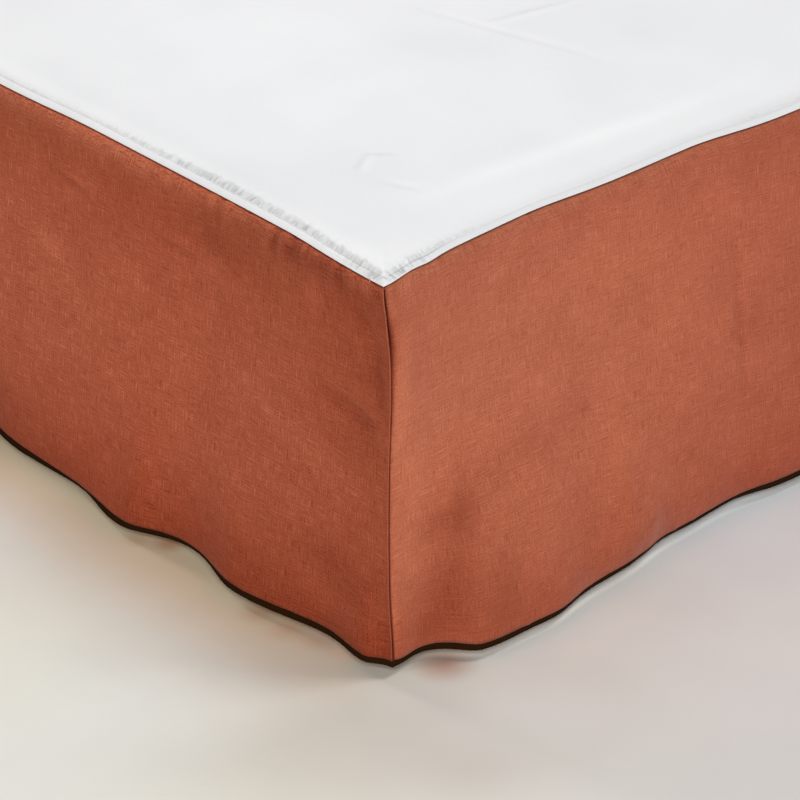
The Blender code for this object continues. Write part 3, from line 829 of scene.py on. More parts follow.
def cottonMaterial():
    finish = cottonFinish
    material, tree, shader = newMaterial("whiteCotton", finish["roughness"], finish["specular"])
    place = objectPlace(tree)
    weave = finish["weave"]
    fine = stretchedNoise(tree, place, (weave * finish["weaveStretch"], weave, weave))
    broad = noiseNode(tree, place, finish["cloud"], 2.0)
    blend = mathNode(tree, "MULTIPLY", mathNode(tree, "ADD", fine, broad), 0.5)
    tone = rangeNode(tree, blend, *finish["contrast"])
    colour = mixedColour(tree, tone, finish["shade"], finish["colour"])
    # painted shade and painted light from the points' values
    inputs = {"Color": colour, "Value": paintedShadeFactor(tree, finish["paintedShade"])}
    shaded = addNode(tree, "ShaderNodeHueSaturation", inputs)
    tree.links.new(shaded.outputs[0], shader.inputs["Base Color"])
    addBump(tree, shader, fine, finish["bump"])
    shader.inputs["Sheen Weight"].default_value = finish["sheen"]
    return material


bindingFinish = {
    "dark": (0.016, 0.0058, 0.0015), "light": (0.034, 0.0125, 0.0035),
    "roughness": 0.95, "specular": 0.03, "grain": 1500.0, "bump": 0.00015,
}


def bindingMaterial():
    finish = bindingFinish
    material, tree, shader = newMaterial("darkBinding", finish["roughness"], finish["specular"])
    fine = noiseNode(tree, objectPlace(tree), finish["grain"], 2.0)
    colour = mixedColour(tree, fine, finish["dark"], finish["light"])
    tree.links.new(colour, shader.inputs["Base Color"])
    addBump(tree, shader, fine, finish["bump"])
    return material


# the foot panel gets the shaded copy of the linen, the side panels the lit copy
shadedFootLinen = linenMaterial("shadedFootLinen", shadedFootColours, footTone, footAlong)
litSideLinen = linenMaterial("litSideLinen", litSideColours, sideTone, sideAlong)
cottonCloth = cottonMaterial()
bindingCloth = bindingMaterial()

panels = {
    "foot": linenPanel("foot", "skirtFootPanel", footCreases, footPuckers, footShades, 1, shadedFootLinen),
    "right": linenPanel("right", "skirtRightPanel", rightCreases, rightPuckers, rightShades, 2, litSideLinen),
    "left": linenPanel("left", "skirtLeftPanel", leftCreases, [], leftShades, 3, litSideLinen),
}
for name, piece in panels.items():
    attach(piece, "root")
    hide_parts("skirt_panel_" + name)
print("linen panels:", {name: len(piece.data.polygons) for name, piece in panels.items()})


# white cotton deck

deck = {
    "thickness": 0.0004,
    "band": 0.0060,             # a flat, topstitched band along the seam
    "bandRise": 0.00045,
    "edgeRise": 0.00025,
    "bandEdges": (0.0010, 0.0004, 0.0008),  # it rises over this, starts to fall this early, falls over this
    "stitchRing": 0.0061,       # the topstitches lie this far in from the seam
    "stitchHalf": 0.0006,
    "grooveWidth": 0.0007,
    "grooveDepth": 0.00055,
    "grooveShift": 0.0002,
    "gatherInset": 0.002,       # no gathers this close to a corner
    "gatherGap": 0.0006,        # from the band to where the gathers start
    "gatherReach": (0.0036, 0.0085),
    "gatherShortest": 0.45,     # where it is gathered least, a gather runs this share of its reach
    "gatherHalf": (0.0006, 0.0015),
    "gatherSides": (0.7, 1.4),  # a gather is steeper on one side
    "gatherLean": (-0.40, 0.30),    # towards the corner: on average, and how uneven
    "gatherSpacing": (0.0024, 0.0064),
    "gatherDepth": (0.0003, 0.0020),
    "gatherStart": 0.0016,
    "gatherWindow": 0.020,      # past this a gather has no effect
    "cornerDrag": 0.9,          # how far the gathers turn in with the corner
    "crossing": 0.080,          # by the corners the gathers run on over the band
    "crossShare": 2.0,
    "crossEnds": (0.0010, 0.002),   # how softly they end, inwards and outwards
    # painted shade over the gathered strip: how much, how uneven, how soft its upper edge is
    "zoneShade": (0.50, 0.40, 0.0024),
    "zoneStart": 0.0009,
    "zoneWobble": (0.0011, 0.0045),     # how uneven its upper edge is, and over what length
    # its lower patches: how long, up to where; its upper ones: how long, from where; how they blend
    "zonePatches": ((0.0026, 0.0095), (0.0034, 0.0090), 0.004),
    "wrinkleSpread": 0.6,
    # painted shade and light of wrinkles across the band: how much, over what length
    "bandWrinkle": (0.16, 0.008),
    "bandFade": 0.0015,
    "bandCorner": (0.016, 0.020, 0.018),    # where the band's painted shade by the corner lies: at, before, after
    "slopeShade": (0.0092, 0.0030, 0.0075),     # where painted shade on the slope is darkest, before, after
    # the cloth swells up just past the band: where, before, after, rise
    "puff": (0.0132, 0.0070, 0.0240, 0.0022),
    "shadeMost": 1.9,
    "ringEnd": 0.056,
    "gridInset": 0.076,
    "waves": ((30, (0.09, 0.40)), (20, (0.10, 0.30))),  # crests along and across the bed: how many, how long
    "waveRise": 0.00042,
    "calmEdge": (0.020, 0.055),     # the waves set in this far in from the side, over this
    # a gather or crease as deep as this has the full painted shade
    "hollowDepth": 0.0014,
    "lowest": 0.0009,           # the cloth may not dip further than this towards the base
    "endRun": 0.02,
    "endStep": 0.0035,
    "seed": 23,
}
# what differs from side to side
deckEdges = {
    # painted shade on the band: all along, and by the corner
    "bandShade": {"right": (0.40, 0.0), "foot": (0.0, 0.40)},
    # painted shade in the stitch groove, dark between the stitches: at, before, after, how much
    "grooveShade": {"right": (0.055, 0.034, 0.030, 1.5)},
    # the topstitching sinks in less: from here on, over, how much
    "grooveFade": {"right": (0.100, 0.020, 0.75)},
    # painted shade on the slope here too: at, before, after, how much
    "softShade": {"right": (0.300, 0.22, 0.50, 0.30)},
}
deckRings = [
    0, 0.0005, 0.0011, 0.0024, 0.0040, 0.0052, 0.0057, 0.0061, 0.0065, 0.0070, 0.0076, 0.0083, 0.0091,
    0.0099, 0.0107, 0.0115, 0.0123, 0.0131, 0.0139, 0.0148, 0.0158, 0.0169, 0.0185, 0.0210, 0.0250, 0.0305,
    0.0375, 0.0465,
]
# how closely the deck's points follow each side: runs from the corner (stop, step), and the far part's step
deckRuns = {
    "foot": ([(0.330, 0.0009), (0.520, 0.0022)], 0.0140),
    "right": ([(0.110, 0.0009), (0.520, 0.0050)], 0.0150),
    "left": ([(0.02, 0.0035)], 0.0200),
    "head": ([(0.02, 0.0035)], 0.0200),
}
# how strongly each side is gathered along the band: at, before, after, strength
gatherStrength = {
    "foot": [
        (0.17, 0.20, 0.22, 0.95), (0.02, 0.03, 0.05, 0.75), (0.60, 0.20, 0.30, 0.45), (1.20, 0.30, 0.30, 0.8),
    ],
    "right": [(0.02, 0.05, 0.085, 0.95), (0.62, 0.20, 0.30, 0.4), (1.35, 0.25, 0.35, 0.7)],
    "left": [(0.20, 0.25, 0.35, 0.8), (1.10, 0.30, 0.30, 0.5), (1.75, 0.20, 0.30, 0.7)],
    "head": [(0.80, 0.60, 0.60, 0.3)],
}
# how far in from the seam the gathered strip reaches: at, reach
zoneReach = {
    "foot": [
        (0, 0.0128), (0.05, 0.0142), (0.10, 0.0153), (0.24, 0.0152), (0.30, 0.0116), (0.42, 0.0090),
        (0.70, 0.0100), (1.20, 0.0140),
    ],
    "right": [(0, 0.0128), (0.05, 0.0122), (0.11, 0.0105), (0.20, 0.0095), (1.30, 0.0130)],
    "left": [(0, 0.0120), (0.50, 0.0140), (1.50, 0.0110)],
    "head": [(0, 0.0110)],
}
# painted light and shade in soft places on the deck: x, y, reach, how much darker
deckShades = [(0.420, -0.800, 0.150, -0.22), (0.300, -0.700, 0.200, -0.10)]
# creases in the deck, a pressed one with painted shade, a raised one with painted light: from (x, y) to (x,
# y), width, rise
deckCreases = [
    ((0.432, -0.638), (0.627, -0.588), 0.0032, -0.00035),
    ((0.434, -0.630), (0.629, -0.580), 0.0050, 0.00015),
    ((0.501, -0.607), (0.518, -0.521), 0.0028, -0.0006),
    ((0.509, -0.608), (0.526, -0.521), 0.0045, 0.0002),
    ((0.638, -0.887), (0.622, -0.860), 0.0024, -0.0005),
    ((0.622, -0.860), (0.640, -0.842), 0.0024, -0.0006),
    ((0.646, -0.884), (0.630, -0.862), 0.0036, 0.0003),
    ((0.672, -0.886), (0.704, -0.872), 0.0030, -0.0003),
    ((0.670, -0.878), (0.702, -0.863), 0.0040, 0.0002),
    ((0.716, -0.880), (0.742, -0.528), 0.0130, 0.0004),
]
# the deck's grid lies closer by the near corner and where it is creased
gridRuns = {
    "plainX": (0.40, 35, 4),        # up to here, in how many lines, and how many more to the creased part
    "creasedX": (0.426, 0.610, 0.0036),
    "cornerX": (0.610, 0.712, 0.0021),
    "edgeX": (0.002, 0.0045),
    "cornerY": (-0.896, -0.834, 0.0021),
    "creasedY": (-0.646, -0.514, 0.0036),
    "plainY": (8, 12, 40),          # lines before, between and after those two
}


def deckRingPoints(side, at, fromSeam):
    radius = hang["shoulderRadius"]

    def insetAndDrop(seamTurn):
        turn = seamTurn - fromSeam / radius
        inset = np.where(turn > 0, arcInset(np.maximum(turn, 0)), radius * (1 - turn))
        return inset, np.where(turn > 0, arcDrop(np.maximum(turn, 0)), 0)

    inset, drop = insetAndDrop(side.seamTurn(at))
    cornerInset, _ = insetAndDrop(np.array(hang["seamTurn"]))
    return side.place(at, -inset, deckTop - drop, float(cornerInset), float(cornerInset))


def gatherRows(random, side, name):
    # each gather: where it starts, half width, rise, how far it runs, which way it leans
    rows, at = [], deck["gatherInset"]
    shortest = deck["gatherShortest"]
    while at < side.length - deck["gatherInset"]:
        strength = min(max(amount * float(hump(at, *place)) for *place, amount in gatherStrength[name]), 1.0)
        rise = -random.uniform(*deck["gatherDepth"]) * strength
        reach = random.uniform(*deck["gatherReach"]) * (shortest + (1 - shortest) * strength)
        lean = deck["gatherLean"][0] + random.uniform(-1, 1) * deck["gatherLean"][1]
        rows.append((at, random.uniform(*deck["gatherHalf"]), rise, reach, lean))
        at += random.uniform(*deck["gatherSpacing"])
    return rows


def gatherRise(at, straight, fromBand, rows):
    rise = np.zeros(straight.shape)
    steep, easy = deck["gatherSides"]
    crossIn, crossOut = deck["crossEnds"]
    for centre, halfWidth, height, reach, lean in rows:
        near = np.abs(at - centre) < deck["gatherWindow"]
        away = straight[:, near] - centre - lean * fromBand
        across = 1 / (1 + (away / np.where(away < 0, steep * halfWidth, easy * halfWidth)) ** 2) ** 1.5
        over = deck["crossShare"] * (1 - ease(centre / deck["crossing"]))
        over = over * (1 - ease(fromBand / crossIn)) * ease((fromBand + deck["band"]) / crossOut)
        start = ease(fromBand / deck["gatherStart"]) + over
        rise[:, near] += height * across * start * np.exp(-(np.maximum(fromBand, 0) / reach) ** 2)
    return rise


def wrinkles(random, at, step):
    # an uneven value along an edge, about -1 to 1
    knots = np.arange(0, at.max() + 2 * step, step)
    return np.interp(at, knots, random.normal(0, deck["wrinkleSpread"], len(knots)))


def zoneShade(random, name, at, straight, depths, strength):
    # painted shade over the gathered strip, with an uneven upper edge and uneven patches
    amount, uneven, soft = deck["zoneShade"]
    wobble, length = deck["zoneWobble"]
    edge = np.interp(at, *zip(*zoneReach[name])) + wobble * wrinkles(random, at, length)
    inside = (1 - ease((depths - edge + soft) / soft)) * ease((depths - deck["band"]) / deck["zoneStart"])
    (lowStep, lowEnd), (highStep, highStart), blend = deck["zonePatches"]
    lower, upper = wrinkles(random, straight, lowStep), wrinkles(random, straight, highStep)
    patches = lower * (1 - ease((depths - lowEnd) / blend)) + upper * ease((depths - highStart) / blend)
    return inside * np.sqrt(strength) * np.maximum(amount + uneven * patches, 0)


def deckStations(name):
    length = sides[name].length
    near, farStep = deckRuns[name]
    return stationsTo(near + [(length - deck["endRun"], farStep), (length, deck["endStep"])])


def bandProfile(at, depths, name):
    # the flat band stands up a little, and its stitches sink in
    rises, inside, falls = deck["bandEdges"]
    band = deck["edgeRise"] + (deck["bandRise"] - deck["edgeRise"]) * ease(depths / rises)
    band = band * (1 - ease((depths - deck["band"] + inside) / falls))
    start, over, share = deckEdges["grooveFade"].get(name, (0.0, 1.0, 0.0))
    grooveDepth = deck["grooveDepth"] * (1 - share * ease((at - start) / over))
    fromGroove = (depths - deck["band"] - deck["grooveShift"]) / deck["grooveWidth"]
    return band - grooveDepth * np.exp(-fromGroove ** 2)


def edgeShades(random, name, at, straight, depths, strength):
    # painted shade along the band, besides the painted shade in the hollows of the gathers
    nowhere = (0.0, 1.0, 1.0, 0.0)
    *place, amount = deckEdges["softShade"].get(name, nowhere)
    softShade = amount * hump(at, *place) * hump(depths, *deck["slopeShade"])
    onBand = 1 - ease((depths - deck["band"]) / deck["bandFade"])
    overall, byCorner = deckEdges["bandShade"].get(name, (0.0, 0.0))
    bandShade = overall + byCorner * hump(at, *deck["bandCorner"])
    wrinkle, step = deck["bandWrinkle"]
    bandShade = onBand * (bandShade + wrinkle * wrinkles(random, straight, step) * strength)
    zone = zoneShade(random, name, at, straight, depths, strength)
    *place, amount = deckEdges["grooveShade"].get(name, nowhere)
    half = deck["stitchHalf"]
    zone = zone + amount * hump(at, *place) * hump(depths, deck["stitchRing"], half, half)
    return softShade + bandShade + zone


def deckEdge(random, name, depths):
    # one side's rings of points, how far each is raised and how much shade is painted on it
    side = sides[name]
    at = deckStations(name)
    ring = np.array([deckRingPoints(side, at, depth) for depth in depths[:, 0]])
    rows = gatherRows(random, side, name)
    # where each point would be along the seam if the gathers ran straight in, also by the corner
    straight = at + deck["cornerDrag"] * cornerShare(at) * (depths - deck["band"])
    rise = gatherRise(at, straight, depths - deck["band"] - deck["gatherGap"], rows)
    strength = np.minimum(sum(amount * hump(at, *place) for *place, amount in gatherStrength[name]), 1.0)
    # painted shade in the gathers' hollows, plus painted shade along the band
    shaded = -rise / deck["hollowDepth"] + edgeShades(random, name, at, straight, depths, strength)
    puffed = deck["puff"][3] * hump(depths, *deck["puff"][:3]) * strength
    rise = rise + bandProfile(at, depths, name) + puffed
    if name in ("head", "right"):
        ring, rise, shaded = ring[:, ::-1], rise[:, ::-1], shaded[:, ::-1]
    return ring[:, :-1], rise[:, :-1], shaded[:, :-1]


def makeDeck(material):
    random = np.random.default_rng(deck["seed"])
    depths = np.array(deckRings + [deck["ringEnd"]])[:, None]
    loops = [deckEdge(random, name, depths) for name in ("foot", "left", "head", "right")]
    chains = [shaded.shape[1] for ring, rise, shaded in loops]
    points, rise, edgePaintedShade = [np.concatenate(parts, axis=1) for parts in zip(*loops)]
    around = np.roll(points, -1, axis=1) - np.roll(points, 1, axis=1)
    normals = unit(np.cross(np.gradient(points, axis=0), around))
    normals *= np.sign(normals[len(normals) // 2, 5, 2])
    points = points + normals * rise[..., None]

    xLines, yLines = gridLines()
    gridX, gridY = np.meshgrid(xLines, yLines)
    top = np.stack([gridX, gridY, np.full(gridX.shape, deckTop)], axis=-1)
    ringCount, around = points.shape[:2]
    allPoints = np.concatenate([points.reshape(-1, 3), top.reshape(-1, 3)])
    waves, paintedShade = deckWaves(random, allPoints)
    allPoints[:, 2] += waves
    under = np.concatenate([normals.reshape(-1, 3), np.broadcast_to([0.0, 0, 1], (top.size // 3, 3))])
    underPoints = allPoints - under * deck["thickness"]

    index = np.arange(ringCount * around).reshape(ringCount, around)
    following = np.roll(index, -1, axis=1)
    rings = np.stack([index[:-1], following[:-1], following[1:], index[1:]], axis=-1).reshape(-1, 4)
    grid = ringCount * around + np.arange(gridX.size).reshape(gridX.shape)
    cells = np.stack([grid[:-1, :-1], grid[:-1, 1:], grid[1:, 1:], grid[1:, :-1]], axis=-1).reshape(-1, 4)
    border = [grid[0, ::-1], grid[:, 0], grid[-1], grid[::-1, -1]]     # foot, left, head, right
    outer = index[-1]
    faces = [tuple(face) for face in rings] + [tuple(face) for face in cells]
    start = 0
    for chain, inner in zip(chains, border):
        ringChain = [outer[(start + step) % around] for step in range(chain + 1)]
        faces += zipChains(allPoints, ringChain, list(inner))
        start += chain
    count = len(allPoints)
    faces += [tuple(number + count for number in reversed(face)) for face in faces]
    rim = index[0]
    rimNext = np.roll(rim, -1)
    faces += [tuple(face) for face in np.stack([rimNext, rim, rim + count, rimNext + count], axis=-1)]
    # painted shade of the gathers and the band, on the rings by the seam
    paintedShade[:ringCount * around] += np.clip(edgePaintedShade.reshape(-1), 0, deck["shadeMost"])
    bothSides = np.concatenate([allPoints, underPoints])
    piece = meshPiece("skirtDeck", bothSides, faces, material, None, np.concatenate([paintedShade, paintedShade]))
    return piece, points, normals, chains


def gridLines():
    edgeX, edgeY = hangX - deck["gridInset"], hangY - deck["gridInset"]
    (plain, count, countOn), (clear, edgeStep) = gridRuns["plainX"], gridRuns["edgeX"]
    creased, corner = gridRuns["creasedX"], gridRuns["cornerX"]
    x = np.concatenate([
        np.linspace(-edgeX, plain, count)[:-1], np.linspace(plain, creased[0], countOn)[:-1],
        np.arange(*creased), np.arange(*corner), np.arange(corner[1], edgeX - clear, edgeStep), [edgeX],
    ])
    before, between, after = gridRuns["plainY"]
    corner, creased = gridRuns["cornerY"], gridRuns["creasedY"]
    y = np.concatenate([
        np.linspace(-edgeY, corner[0], before)[:-1], np.arange(*corner),
        np.linspace(corner[1], creased[0], between)[:-1], np.arange(*creased),
        np.linspace(creased[1], edgeY, after),
    ])
    return x, y


def deckWaves(random, points):
    x, y = points[:, 0], points[:, 1]
    inset = np.minimum(hangX - np.abs(x), hangY - np.abs(y))
    alongBed, acrossBed = deck["waves"]
    rise = waveRise(random, x, y, *alongBed, deck["waveRise"])
    rise += waveRise(random, y, x, *acrossBed, deck["waveRise"])
    pressed = creaseRise(x, y, deckCreases)
    broad = 0
    for spotX, spotY, reach, amount in deckShades:
        broad = broad + amount * np.exp(-((x - spotX) ** 2 + (y - spotY) ** 2) / reach ** 2)
    start, over = deck["calmEdge"]
    away = ease((inset - start) / over)
    rise = (rise + pressed) * away
    low = deck["lowest"]
    # painted shade in pressed creases, painted light on raised ones, and painted light and shade in soft
    # places
    paintedShade = np.clip(-pressed / deck["hollowDepth"], -1, 1) + broad
    return np.where(rise < 0, low * np.tanh(rise / low), rise), paintedShade * away


def zipChains(points, outer, inner):
    # joins two rows of points with triangles, where the rows have different counts
    faces, i, j = [], 0, 0

    def apart(one, other):
        return np.linalg.norm(points[one] - points[other])

    while i < len(outer) - 1 or j < len(inner) - 1:
        if i == len(outer) - 1:
            ahead = False
        else:
            ahead = j == len(inner) - 1 or apart(outer[i + 1], inner[j]) < apart(inner[j + 1], outer[i])
        if ahead:
            faces.append((outer[i], outer[i + 1], inner[j]))
            i += 1
        else:
            faces.append((outer[i], inner[j + 1], inner[j]))
            j += 1
    return faces


deckPiece, deckPoints, deckNormals, deckChains = makeDeck(cottonCloth)
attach(deckPiece, "root")
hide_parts("skirt_deck")
print("deck:", len(deckPiece.data.polygons), "faces")


# dark binding along the hem, made by Geometry Nodes

binding = {
    "height": 0.0060,
    "thickness": 0.0024,
    "round": 0.0010,
    "step": 0.0040,
    "setIn": 0.0006,            # how far its middle lies behind the cloth's outer face
    "tipFade": 0.012,           # it stands upright by the corners
    "fullness": 0.93,
    "uneven": (4, 0.05),        # fuller and thinner places: every how many points, how much
    "wobble": (5, 0.00022),     # up and down, in the same way
    "seed": 5,
}
# where the binding tips out (+) or rolls under (-): at, before, after, degrees
bindingTips = {
    "foot": [
        (0.028, 0.016, 0.016, 12), (0.108, 0.024, 0.024, 12), (0.165, 0.020, 0.020, 12),
        (0.236, 0.050, 0.055, -33), (0.330, 0.024, 0.024, 14), (0.388, 0.034, 0.040, -35),
        (0.70, 0.09, 0.09, 10), (0.98, 0.09, 0.10, -18), (1.28, 0.08, 0.09, 10), (1.48, 0.05, 0.05, -14),
    ],
    "right": [
        (0.018, 0.020, 0.025, -10), (0.092, 0.040, 0.045, -12), (0.170, 0.040, 0.040, -20),
        (0.280, 0.065, 0.065, -38), (0.400, 0.060, 0.060, -30), (0.780, 0.080, 0.080, 10),
        (1.020, 0.070, 0.100, -18), (1.420, 0.100, 0.080, 10), (1.700, 0.080, 0.090, -15),
    ],
    "left": [
        (0.150, 0.060, 0.060, 10), (0.420, 0.080, 0.080, -18), (0.900, 0.100, 0.080, 12),
        (1.250, 0.090, 0.090, -16), (1.700, 0.090, 0.080, 10),
    ],
}


def unevenAlong(random, count, every, amount):
    knots = np.arange(0, count, every)
    return np.interp(np.arange(count), knots, random.normal(0, amount, len(knots)))


def bindingPath():
    # the middle line of the binding from the left panel's head end round to the right panel's
    random = np.random.default_rng(binding["seed"])
    half, fade = 0.5 * binding["height"], binding["tipFade"]
    spots, tips = [], []
    for name in ("left", "foot", "right"):
        side = sides[name]
        at = stationsTo([(side.length, binding["step"])])
        upright = ease(at / fade) * ease((side.length - at) / fade) if name == "foot" else ease(at / fade)
        tip = sum(degrees * hump(at, *place) for *place, degrees in bindingTips[name])
        tip = np.radians(tip) * upright
        out = side.stand(at, hemZ) + half * np.sin(tip) - binding["setIn"]
        z = np.full(at.shape, hemTop) - half * np.cos(tip)
        shifts = [-mate[0].stand(mate[1], hemZ) if mate else 0.0 for mate in (side.starts, side.ends)]
        spot = side.place(at, out, z, *shifts)
        if name != "right":
            spot, tip = spot[::-1], tip[::-1]
        spots.append(spot if name == "left" else spot[1:])
        tips.append(-tip if name == "left" else -tip[1:])
    spots, tips = np.concatenate(spots), np.concatenate(tips)
    fullness = binding["fullness"] + unevenAlong(random, len(spots), *binding["uneven"])
    spots[:, 2] += unevenAlong(random, len(spots), *binding["wobble"])
    return spots, tips, fullness


def newNodeGroup(name, inputs):
    tree = bpy.data.node_groups.new(name, "GeometryNodeTree")
    tree.interface.new_socket("Geometry", in_out="INPUT", socket_type="NodeSocketGeometry")
    for label, kind, value in inputs:
        socket = tree.interface.new_socket(label, in_out="INPUT", socket_type=kind)
        if value is not None:
            socket.default_value = value
    tree.interface.new_socket("Geometry", in_out="OUTPUT", socket_type="NodeSocketGeometry")
    return tree, tree.nodes.new("NodeGroupInput"), tree.nodes.new("NodeGroupOutput")


def pathMesh(name, runs, attributes=None):
    # edges along one or more runs of points, with one value a point for each attribute
    mesh = bpy.data.meshes.new(name)
    points, edges = [], []
    for run in runs:
        start = len(points)
        points.extend(np.asarray(run).tolist())
        edges.extend((start + step, start + step + 1) for step in range(len(run) - 1))
    mesh.from_pydata(points, edges, [])
    for label, values in (attributes or {}).items():
        layer = mesh.attributes.new(label, "FLOAT", "POINT")
        layer.data.foreach_set("value", np.asarray(values, dtype=np.float32))
    return newObject(name + "Path", mesh)


def finishNodes(carrier, tree, values, name):
    # sets the inputs, evaluates the tree and keeps its result as a plain mesh
    modifier = carrier.modifiers.new(name, "NODES")
    modifier.node_group = tree
    for item in tree.interface.items_tree:
        if item.item_type == "SOCKET" and item.in_out == "INPUT" and item.name in values:
            modifier[item.identifier] = values[item.name]
    graph = bpy.context.evaluated_depsgraph_get()
    mesh = bpy.data.meshes.new_from_object(carrier.evaluated_get(graph))
    mesh.name = name
    carrier.modifiers.remove(modifier)
    bpy.data.objects.remove(carrier)
    shape = bmesh.new()
    shape.from_mesh(mesh)
    bmesh.ops.remove_doubles(shape, verts=shape.verts, dist=1e-6)
    bmesh.ops.recalc_face_normals(shape, faces=shape.faces)
    shape.to_mesh(mesh)
    shape.free()
    return newObject(name, mesh)


def endTree(tree, result, shape, material):
    real = addNode(tree, "GeometryNodeRealizeInstances", {"Geometry": shape})
    smooth = addNode(tree, "GeometryNodeSetShadeSmooth", {"Geometry": real.outputs[0], "Shade Smooth": True})
    coloured = addNode(tree, "GeometryNodeSetMaterial", {"Geometry": smooth.outputs[0], "Material": material})
    tree.links.new(coloured.outputs[0], result.inputs[0])
    return tree


def sweep(tree, curve, profile):
    inputs = {"Curve": curve, "Profile Curve": profile, "Fill Caps": True}
    return addNode(tree, "GeometryNodeCurveToMesh", inputs).outputs[0]


def pointValue(tree, name):
    value = addNode(tree, "GeometryNodeInputNamedAttribute", {"Name": name}, data_type="FLOAT")
    return value.outputs["Attribute"]


def tapeTree():
    tree, given, result = newNodeGroup("tapeAlongPath", [
        ("Height", "NodeSocketFloat", 0.006), ("Thickness", "NodeSocketFloat", 0.0024),
        ("Rounding", "NodeSocketFloat", 0.001), ("Cloth", "NodeSocketMaterial", None),
    ])
    size = given.outputs
    curve = addNode(tree, "GeometryNodeMeshToCurve", {"Mesh": size["Geometry"]})
    curve = addNode(tree, "GeometryNodeSetCurveNormal", {"Curve": curve.outputs[0]}, mode="Z_UP")
    inputs = {"Curve": curve.outputs[0], "Tilt": pointValue(tree, "tip")}
    curve = addNode(tree, "GeometryNodeSetCurveTilt", inputs)
    inputs = {"Curve": curve.outputs[0], "Radius": pointValue(tree, "fullness")}
    curve = addNode(tree, "GeometryNodeSetCurveRadius", inputs)
    inputs = {"Width": size["Thickness"], "Height": size["Height"]}
    outline = addNode(tree, "GeometryNodeCurvePrimitiveQuadrilateral", inputs)
    inputs = {"Curve": outline.outputs[0], "Count": 3, "Radius": size["Rounding"]}
    rounded = addNode(tree, "GeometryNodeFilletCurve", inputs, mode="POLY")
    return endTree(tree, result, sweep(tree, curve.outputs[0], rounded.outputs[0]), size["Cloth"])


def makeBinding():
    spots, tips, fullness = bindingPath()
    carrier = pathMesh("hemBinding", [spots], {"tip": tips, "fullness": fullness})
    return finishNodes(carrier, tapeTree(), {
        "Height": binding["height"], "Thickness": binding["thickness"],
        "Rounding": binding["round"], "Cloth": bindingCloth,
    }, "hemBinding")


bindingPiece = makeBinding()
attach(bindingPiece, "root")
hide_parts("hem_binding")
print("binding:", len(bindingPiece.data.polygons), "faces", [round(v, 4) for v in bindingPiece.dimensions])


def stitchTree():
    tree, given, result = newNodeGroup("stitchesAlongPath", [
        ("Pitch", "NodeSocketFloat", 0.0028), ("Stitch Length", "NodeSocketFloat", 0.0021),
        ("Thread Radius", "NodeSocketFloat", 0.00028), ("Unevenness", "NodeSocketFloat", 0.12),
        ("Seed", "NodeSocketInt", 3), ("Thread", "NodeSocketMaterial", None),
    ])
    size = given.outputs
    curve = addNode(tree, "GeometryNodeMeshToCurve", {"Mesh": size["Geometry"]})
    inputs = {"Curve": curve.outputs[0], "Length": size["Pitch"]}
    spots = addNode(tree, "GeometryNodeCurveToPoints", inputs, mode="LENGTH")
    ball = addNode(tree, "GeometryNodeMeshUVSphere", {"Segments": 6, "Rings": 4, "Radius": 1.0})
    along = addNode(tree, "FunctionNodeAlignRotationToVector", {"Vector": spots.outputs["Tangent"]}, axis="Z")
    least = mathNode(tree, "SUBTRACT", 1.0, size["Unevenness"])
    most = mathNode(tree, "ADD", 1.0, size["Unevenness"])
    inputs = {2: least, 3: most, "Seed": size["Seed"]}
    vary = addNode(tree, "FunctionNodeRandomValue", inputs, data_type="FLOAT")
    halfLength = mathNode(tree, "MULTIPLY", size["Stitch Length"], 0.5)
    length = mathNode(tree, "MULTIPLY", halfLength, vary.outputs[1])
    radius = size["Thread Radius"]
    ballSize = addNode(tree, "ShaderNodeCombineXYZ", {0: radius, 1: radius, 2: length})
    placed = addNode(tree, "GeometryNodeInstanceOnPoints", {
        "Points": spots.outputs["Points"], "Instance": ball.outputs[0],
        "Rotation": along.outputs[0], "Scale": ballSize.outputs[0],
    })
    return endTree(tree, result, placed.outputs[0], size["Thread"])


def cordTree():
    tree, given, result = newNodeGroup("cordAlongPath", [
        ("Radius", "NodeSocketFloat", 0.003), ("Cloth", "NodeSocketMaterial", None),
    ])
    size = given.outputs
    curve = addNode(tree, "GeometryNodeMeshToCurve", {"Mesh": size["Geometry"]})
    inputs = {"Resolution": 10, "Radius": size["Radius"]}
    ring = addNode(tree, "GeometryNodeCurvePrimitiveCircle", inputs, mode="RADIUS")
    return endTree(tree, result, sweep(tree, curve.outputs[0], ring.outputs[0]), size["Cloth"])


# stitching

threads = {
    # stitches on the deck, down the corners and in the end hems: pitch, length, radius of the thread
    "deckPitch": 0.0030, "deckStitch": 0.0023, "deckRadius": 0.00030,
    "cornerPitch": 0.0024, "cornerStitch": 0.0015, "cornerRadius": 0.00036, "cornerInset": 0.0003,
    "endPitch": 0.0030, "endStitch": 0.0022, "endInset": 0.0105,
    "sunk": 0.00012,            # how deep the deck's stitches lie in its band
    "cornerRise": 0.00015, "endRise": 0.0007,
    "cornerTop": 0.352, "aboveHem": 0.004, "pathPoints": 90,
    "linenColour": (0.52, 0.17, 0.095), "cottonColour": (0.80, 0.80, 0.81), "looseColour": (0.80, 0.60, 0.48),
    "darker": 0.75, "fibre": 2500.0, "roughness": 0.8, "specular": 0.12,
}


def threadMaterial(name, colour):
    material, tree, shader = newMaterial(name, threads["roughness"], threads["specular"])
    fine = noiseNode(tree, objectPlace(tree), threads["fibre"], 1.0)
    darker = [threads["darker"] * value for value in colour]
    tree.links.new(mixedColour(tree, fine, darker, colour), shader.inputs["Base Color"])
    return material


linenThread = threadMaterial("linenThread", threads["linenColour"])
cottonThread = threadMaterial("cottonThread", threads["cottonColour"])


